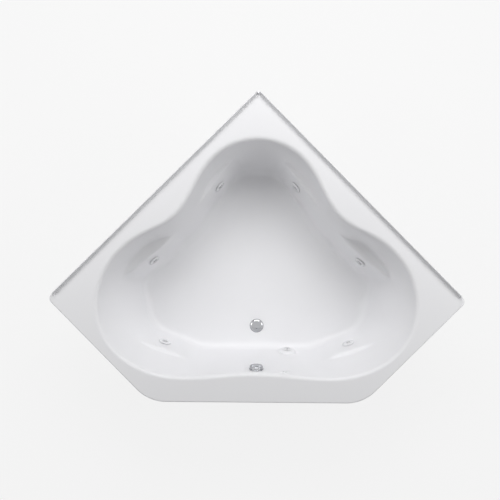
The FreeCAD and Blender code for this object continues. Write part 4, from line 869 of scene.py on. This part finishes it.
@dataclass
class Overflow:
    """Overflow: a ring on the front wall, and the hollow knob that turns before it and lets water in behind."""

    place: Place
    plate_r: float = 0.036
    plate_t: float = 0.0025
    bore_r: float = 0.026
    neck_r: float = 0.0295
    neck_foot: float = -0.0165
    knob_r: float = 0.038
    knob_t: float = 0.017
    knob_wall: float = 0.0025
    gap: float = 0.0004
    shaft_r: float = 0.004
    shaft_end: float = -0.0475
    crank: tuple[float, float, float] = (0.012, -0.0426, -0.0395)
    flare: float = 0.003
    edge: float = 0.003
    groove_r: float = 0.0265
    groove: float = 0.0008
    dish: float = 0.0012
    ways: int = 8
    way_r: float = 0.005

    def plate(self) -> bpy.types.Object:
        """Return the ring with its neck through the wall."""
        profile = rounded_profile([
            (self.bore_r, self.neck_foot, 0.0), (self.neck_r, self.neck_foot, 0.0005), (self.neck_r, 0.0, 0.0),
            (self.plate_r, 0.0, 0.0005), (self.plate_r, self.plate_t, 0.0012), (self.bore_r, self.plate_t, 0.0)])
        return lathe("overflow_ring", profile, self.place, 96)

    def knob(self) -> bpy.types.Object:
        """Return the knob: a flared skirt, a face with a groove and a shallow dish, a shaft and its crank."""
        foot = self.plate_t + self.gap
        front = foot + self.knob_t
        waist = self.knob_r - self.flare
        inside = front - self.knob_wall
        crank_r, crank_low, crank_high = self.crank
        rim = rounded_profile([
            (0.0, self.shaft_end, 0.0), (self.shaft_r, self.shaft_end, 0.0005), (self.shaft_r, crank_low, 0.0),
            (crank_r, crank_low, 0.0006), (crank_r, crank_high, 0.0006), (self.shaft_r, crank_high, 0.0),
            (self.shaft_r, inside, 0.0008), (waist - self.knob_wall, inside, 0.001),
            (waist - self.knob_wall, foot, 0.0004), (self.knob_r, foot, 0.0005),
            (self.knob_r, foot + self.flare / 3, 0.0005), (waist, foot + self.flare * 1.2, 0.001),
            (waist, front - self.edge, 0.0022), (waist - self.edge, front, 0.0018),
            (self.groove_r + self.groove, front, 0.0003), (self.groove_r, front - self.groove, 0.0003),
            (self.groove_r - self.groove, front, 0.0)])
        face = dished(self.groove_r - self.groove, front, self.dish, 12)
        knob = lathe("overflow_turning_knob", np.concatenate([rim, face]), self.place, 128)
        side, top, axis = self.place.frame()
        base = np.array(self.place.origin) + axis * foot
        ways = []
        for number in range(self.ways):
            a = 2 * math.pi * number / self.ways
            out = top * math.cos(a) + side * math.sin(a)
            ways.append((Place(tuple(base + out * self.knob_r), tuple(out), tuple(axis)), self.way_r))
        cut_holes(knob, ways, self.knob_wall * 2)
        return knob

    def build(self) -> None:
        """Make and dress both pieces."""
        finished(self.plate(), "chrome", "overflow_plate", "bath")
        finished(self.knob(), "chrome", "overflow_knob", "knob")


@dataclass
class Suction:
    """Suction cover: a low dome with radial slots, and the screw in its middle."""

    place: Place
    cover_r: float = 0.048
    inner_r: float = 0.0461
    flange_t: float = 0.003
    cover_t: float = 0.012
    wall: float = 0.003
    fit_gap: float = 0.0001
    hub_r: float = 0.006
    screw_r: float = 0.0029
    head_r: float = 0.005
    head_t: float = 0.0015
    screw_l: float = 0.0065
    slots: int = 16
    slot_start: float = 0.012
    slot_w: float = 0.004

    @property
    def front(self) -> float:
        """Height of the cover's face."""
        return self.flange_t + self.cover_t

    def cover(self) -> bpy.types.Object:
        """Return the cover: a rounded outer dome, a hollow behind it, and a hub that stands on the fitting."""
        crown_r = self.inner_r - self.cover_t
        hole = self.screw_r + self.fit_gap
        shoulder = self.flange_t + self.fit_gap
        profile = rounded_profile([
            (hole, self.flange_t, 0.0), (self.hub_r, self.flange_t, 0.0004),
            (self.hub_r, self.front - self.wall, 0.0008), (crown_r - self.wall, self.front - self.wall, 0.003),
            (self.inner_r, shoulder, 0.001), (self.inner_r, self.fit_gap, 0.0003),
            (self.cover_r, self.fit_gap, 0.0005), (self.cover_r, shoulder, 0.002), (crown_r, self.front, 0.008),
            (hole, self.front, 0.0)])
        cover = lathe("suction_dome", profile, self.place, 128)
        side, top, axis = self.place.frame()
        near, far = self.slot_start, crown_r - self.wall
        bend = np.linspace(-0.5 * math.pi, 0.5 * math.pi, 9)
        end = self.slot_w / 2
        outline = np.concatenate([
            np.stack([far - end + end * np.cos(bend), end * np.sin(bend)], axis=1),
            np.stack([near + end - end * np.cos(bend), -end * np.sin(bend)], axis=1)])
        tools = []
        for number in range(self.slots):
            a = 2 * math.pi * number / self.slots
            out, across = side * math.cos(a) + top * math.sin(a), top * math.cos(a) - side * math.sin(a)
            path = np.array(self.place.origin) + axis * np.array([[shoulder], [self.front + self.wall]])
            tools.append(swept("slot_tool_%d" % number, outline, path, out, across))
        cut_with(cover, tools)
        return cover

    def screw(self) -> bpy.types.Object:
        """Return the screw, its head domed by a quadratic rounding."""
        profile = rounded_profile([
            (0.0, -self.screw_l, 0.0), (self.screw_r, -self.screw_l, 0.0006),
            (self.screw_r, self.front, 0.0), (self.head_r, self.front, 0.0003),
            (self.head_r, self.front + self.head_t, 0.001), (0.0, self.front + self.head_t, 0.0)])
        return lathe("suction_cover_screw", profile, self.place, 48)

    def build(self) -> None:
        """Make and dress both pieces."""
        finished(self.cover(), "cover_white", "suction_cover", "bath")
        finished(self.screw(), "steel", "suction_screw", "bath")


@dataclass
class AirButton:
    """Air button under the rim: a cap with a dished face in a flanged body."""

    place: Place
    flange_r: float = 0.018
    flange_t: float = 0.002
    barrel_r: float = 0.0142
    barrel_l: float = 0.030
    well_r: float = 0.0134
    well: float = 0.008
    floor_z: float = -0.0265
    stem_hole_r: float = 0.0064
    nipple_r: float = 0.003
    nipple_l: float = 0.012
    cap_r: float = 0.013
    cap_rise: float = 0.006
    cap_foot: float = -0.0036
    stem_r: float = 0.006
    stem_l: float = 0.018
    edge: float = 0.002
    dish: float = 0.0008

    def body(self) -> bpy.types.Object:
        """Return the body: a flange on the wall, a barrel through it, a well for the cap and a nipple."""
        end = -self.barrel_l
        profile = rounded_profile([
            (0.0, end - self.nipple_l, 0.0), (self.nipple_r, end - self.nipple_l, 0.0005), (self.nipple_r, end, 0.0),
            (self.barrel_r, end, 0.001), (self.barrel_r, 0.0, 0.0), (self.flange_r, 0.0, 0.0004),
            (self.flange_r, self.flange_t, 0.0014), (self.well_r, self.flange_t, 0.0004),
            (self.well_r, -self.well, 0.0004), (self.stem_hole_r, -self.well, 0.0003),
            (self.stem_hole_r, self.floor_z, 0.0003), (0.0, self.floor_z, 0.0)])
        return lathe("air_button_body", profile, self.place, 96)

    def cap(self) -> bpy.types.Object:
        """Return the cap: a stem, a rounded edge and a dished face."""
        rim = rounded_profile([
            (0.0, -self.stem_l, 0.0), (self.stem_r, -self.stem_l, 0.0006), (self.stem_r, self.cap_foot, 0.0),
            (self.cap_r, self.cap_foot, 0.0004), (self.cap_r, self.cap_rise, 0.0015),
            (self.cap_r - self.edge, self.cap_rise, 0.0)])
        face = dished(self.cap_r - self.edge, self.cap_rise, self.dish, 10)
        return lathe("air_button_cap", np.concatenate([rim, face]), self.place, 96)

    def build(self) -> None:
        """Make and dress both pieces."""
        finished(self.body(), "cover_white", "button_body", "bath")
        finished(self.cap(), "cover_white", "button_cap", "button")


# ---------------------------------------------------------------- carried pieces
@dataclass
class Carried:
    """Frame nodes whose own shape is right, smoothed and dressed."""

    smooth_deg: float = 30.0

    def build(self, frame: dict) -> None:
        """Copy each node that is still shown, merge its doubles, smooth it and dress it."""
        slots = {part["node"]: part["material_slot"] for part in frame["record"]["subparts"]}
        for name, node in sorted(frame["nodes"].items()):
            if not node.hide_render:
                piece = smoothed(name + "_part", node.data.copy(), self.smooth_deg, False)
                finished(piece, slots[name], name, node["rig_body"])


# ---------------------------------------------------------------- studio
@dataclass(frozen=True)
class Softbox:
    """Rectangular lamp that faces a target."""

    name: str
    origin: tuple[float, float, float]
    target: tuple[float, float, float]
    size: tuple[float, float]
    watts: float

    def hang(self) -> None:
        """Hang the lamp."""
        data = bpy.data.lights.new(self.name, "AREA")
        data.shape = "RECTANGLE"
        data.size, data.size_y = self.size
        data.energy = self.watts
        lamp = linked(self.name, data)
        lamp.location = self.origin
        lamp.rotation_euler = (Vector(self.target) - Vector(self.origin)).to_track_quat("-Z", "Y").to_euler()


@dataclass(frozen=True)
class Flag:
    """Dark upright panel that faces the bath and shows only in its polished pieces."""

    name: str
    origin: tuple[float, float, float]
    size: tuple[float, float]
    colour: tuple[int, int, int] = (12, 12, 13)

    def stand(self) -> None:
        """Stand the panel with its middle at the origin."""
        out = unit(np.array([*self.origin[:2], 0.0]))
        across = np.array([-out[1], out[0], 0.0]) * self.size[0] / 2
        rise = np.array([0.0, 0.0, self.size[1] / 2])
        corners = [np.array(self.origin) + across * x + rise * z for x, z in ((-1, -1), (1, -1), (1, 1), (-1, 1))]
        mesh = bpy.data.meshes.new(self.name)
        mesh.from_pydata([tuple(corner) for corner in corners], [], [(0, 1, 2, 3)])
        paint = bpy.data.materials.new(self.name + "_cloth")
        paint.use_nodes = True
        paint.node_tree.nodes["Principled BSDF"].inputs["Base Color"].default_value = linear(self.colour)
        mesh.materials.append(paint)
        panel = linked(self.name, mesh)
        for ray in ("camera", "diffuse", "shadow", "transmission", "volume_scatter"):
            setattr(panel, "visible_" + ray, False)


@dataclass
class Studio:
    """Pale floor, soft lights and the camera straight above the bath.

    The picture is frame_px wide and high, px metres to each at the deck's height.  The camera stands above
    nadir_y, which the picture shows at nadir_px.
    """

    camera_h: float = 4.0
    deck_z: float = 0.545
    px: float = 0.00513
    frame_px: int = 500
    nadir_px: tuple[float, float] = (257.3, 250.0)
    nadir_y: float = -0.016
    roll_deg: float = 0.5
    sensor_mm: float = 36.0
    clip: tuple[float, float] = (0.1, 50.0)
    world_level: float = 0.27
    shown_white: tuple[int, int, int] = (249, 249, 249)
    paper: tuple[int, int, int] = (246, 246, 246)
    paper_roughness: float = 0.9
    floor_share: float = 0.88
    floor_reach: float = 6.0
    softboxes: tuple[Softbox, ...] = (
        Softbox("softbox_back", (0.1, 2.75, 3.3), (0.0, -0.1, 0.3), (3.4, 2.2), 95.0),
        Softbox("softbox_left", (-3.2, 0.3, 2.8), (0.0, 0.0, 0.4), (1.6, 1.6), 24.0),
        Softbox("softbox_right", (3.2, 0.3, 2.8), (0.0, 0.0, 0.4), (1.6, 1.6), 30.0),
    )
    flags: tuple[Flag, ...] = (
        Flag("flag_back", (0.0, 3.4, 0.9), (5.0, 1.8)),
        Flag("flag_front", (0.0, -3.0, 1.2), (5.0, 2.4)),
    )

    def camera(self) -> None:
        """Place the camera, its angle worked out from the picture's width at the deck's height."""
        data = bpy.data.cameras.new("above")
        data.sensor_width = self.sensor_mm
        data.lens = self.sensor_mm * self.camera_h / (self.frame_px * self.px)
        data.shift_x = -(self.nadir_px[0] - self.frame_px / 2) / self.frame_px
        data.shift_y = (self.nadir_px[1] - self.frame_px / 2) / self.frame_px
        data.clip_start, data.clip_end = self.clip
        camera = linked("above", data)
        camera.location = (0.0, self.nadir_y, self.deck_z + self.camera_h)
        camera.rotation_euler = Euler((0.0, 0.0, math.radians(self.roll_deg)))
        bpy.context.scene.camera = camera

    @staticmethod
    def camera_share(nodes: bpy.types.Nodes, links: bpy.types.NodeLinks) -> bpy.types.NodeSocket:
        """Return a socket that is 1 for rays from the camera, from gloss and through glass."""
        path = nodes.new("ShaderNodeLightPath")
        share = path.outputs["Is Camera Ray"]
        for kind in ("Is Glossy Ray", "Is Transmission Ray"):
            total = nodes.new("ShaderNodeMath")
            total.operation = "ADD"
            total.use_clamp = True
            links.new(share, total.inputs[0])
            links.new(path.outputs[kind], total.inputs[1])
            share = total.outputs[0]
        return share

    def show(self, tree: bpy.types.NodeTree, output_name: str, lit: bpy.types.Node, shown: bpy.types.Node,
             share: float) -> None:
        """Let a tree's output show one shader to the camera by share, and keep the rest as the lit one."""
        nodes, links = tree.nodes, tree.links
        part = nodes.new("ShaderNodeMath")
        part.operation = "MULTIPLY"
        part.inputs[1].default_value = share
        mix = nodes.new("ShaderNodeMixShader")
        links.new(self.camera_share(nodes, links), part.inputs[0])
        for number, output in enumerate((part.outputs[0], lit.outputs[0], shown.outputs[0])):
            links.new(output, mix.inputs[number])
        links.new(mix.outputs[0], nodes[output_name].inputs["Surface"])

    def world(self) -> None:
        """Light the scene evenly, and show near white to the camera."""
        world = bpy.data.worlds.new("studio")
        world.use_nodes = True
        bpy.context.scene.world = world
        even = world.node_tree.nodes["Background"]
        even.inputs["Color"].default_value = (1.0, 1.0, 1.0, 1.0)
        even.inputs["Strength"].default_value = self.world_level
        shown = world.node_tree.nodes.new("ShaderNodeBackground")
        shown.inputs["Color"].default_value = linear(self.shown_white)
        self.show(world.node_tree, "World Output", even, shown, 1.0)

    def floor(self) -> None:
        """Lay the floor, which glows near white to the camera by floor_share."""
        span = np.array([-self.floor_reach, self.floor_reach])
        x, y = np.meshgrid(span, span, indexing="ij")
        mesh = bpy.data.meshes.new("floor")
        mesh.from_pydata(np.stack([x, y, 0 * x], axis=-1).reshape(-1, 3).tolist(), [], [(0, 2, 3, 1)])
        paint = bpy.data.materials.new("floor_paper")
        paint.use_nodes = True
        shader = paint.node_tree.nodes["Principled BSDF"]
        shader.inputs["Base Color"].default_value = linear(self.paper)
        shader.inputs["Roughness"].default_value = self.paper_roughness
        glow = paint.node_tree.nodes.new("ShaderNodeEmission")
        glow.inputs["Color"].default_value = linear(self.shown_white)
        self.show(paint.node_tree, "Material Output", shader, glow, self.floor_share)
        mesh.materials.append(paint)
        floor = linked("floor", mesh)

    def build(self) -> None:
        """Set the whole studio up."""
        bpy.context.scene.view_settings.view_transform = "Standard"
        self.camera()
        self.world()
        self.floor()
        for softbox in self.softboxes:
            softbox.hang()
        for flag in self.flags:
            flag.stand()


# ---------------------------------------------------------------- the whole bath
# Three of the six pads, in the jets' order; the other three mirror them.
PAD_HALVES = (0.125, 0.165, 0.150)
PAD_BLENDS = (0.060, 0.050, 0.040)
PAD_SOFT = 0.012
# Radii of the flats that the fittings sit on, and of the holes that their necks go through.
JET_HOLE_R = 0.026
OVERFLOW_SEAT_R, OVERFLOW_HOLE_R = 0.043, 0.030
SUCTION_SEAT_R, SUCTION_HOLE_R = 0.050, 0.026
BUTTON_SEAT_R, BUTTON_HOLE_R = 0.022, 0.0146


def joint_place(frame: dict, name: str) -> Place:
    """Return the place of one hinge of the frame."""
    joint = next(j for j in frame["joints"] if j["name"] == name)
    return Place(tuple(joint["pos_m"]), tuple(joint["axis"]))


def read(items: bpy.types.bpy_prop_collection, key: str, width: int) -> np.ndarray:
    """Return one property of all items as an array (items, width)."""
    values = np.empty(len(items) * width)
    items.foreach_get(key, values)
    return values.reshape(-1, width)


def round_place(node: bpy.types.Object, rise: float) -> Place:
    """Return the place of a round node on the front wall, worked out from its faces.

    Its axis is the way that most of the faces' area points, which is the last eigenvector of the sum of
    area n n^T.  Its origin lies on the axis, rise behind the node's furthest point.
    """
    area, normal, centre = (read(node.data.polygons, key, width)
                            for key, width in (("area", 1), ("normal", 3), ("center", 3)))
    axis = np.linalg.eigh(normal.T @ (normal * area))[1][:, -1]
    axis *= np.sign(axis[1])
    middle = (centre * area).sum(axis=0) / area.sum()
    front = (read(node.data.vertices, "co", 3) @ axis).max()
    return Place(tuple(middle + axis * (front - rise - middle @ axis)), tuple(axis))


def main() -> None:
    """Build the bath's looks in order, and the studio round it."""
    logging.basicConfig(level=logging.INFO, format="%(name)s: %(message)s")
    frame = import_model()
    shell = Shell()
    jets = [Jet(k, joint_place(frame, "trim_turn_%d" % k)) for k in range(1, 7)]
    mirrored = zip(jets, PAD_HALVES + PAD_HALVES[::-1], PAD_BLENDS + PAD_BLENDS[::-1])
    pads = [Pad(jet.place, half, blend, PAD_SOFT) for jet, half, blend in mirrored]
    overflow = joint_place(frame, "overflow_turn")
    suction = round_place(frame["nodes"]["suction_cover"], Suction.flange_t + Suction.cover_t)
    button = round_place(frame["nodes"]["button_cap"], AirButton.cap_rise)
    drain = Place((0.0, shell.front_y + shell.drain_in, shell.floor_z), (0.0, 0.0, 1.0), (0.0, 1.0, 0.0))
    seats = [Seat(overflow, OVERFLOW_SEAT_R), Seat(suction, SUCTION_SEAT_R), Seat(button, BUTTON_SEAT_R)]
    holes = [(jet.place, JET_HOLE_R) for jet in jets]
    holes += [(overflow, OVERFLOW_HOLE_R), (suction, SUCTION_HOLE_R), (button, BUTTON_HOLE_R)]
    shell.build(pads, seats, holes)
    for piece in (*jets, Drain(drain), Overflow(overflow), Suction(suction), AirButton(button)):
        piece.build()
    Carried().build(frame)
    Studio().build()


if __name__ == "__main__":
    main()
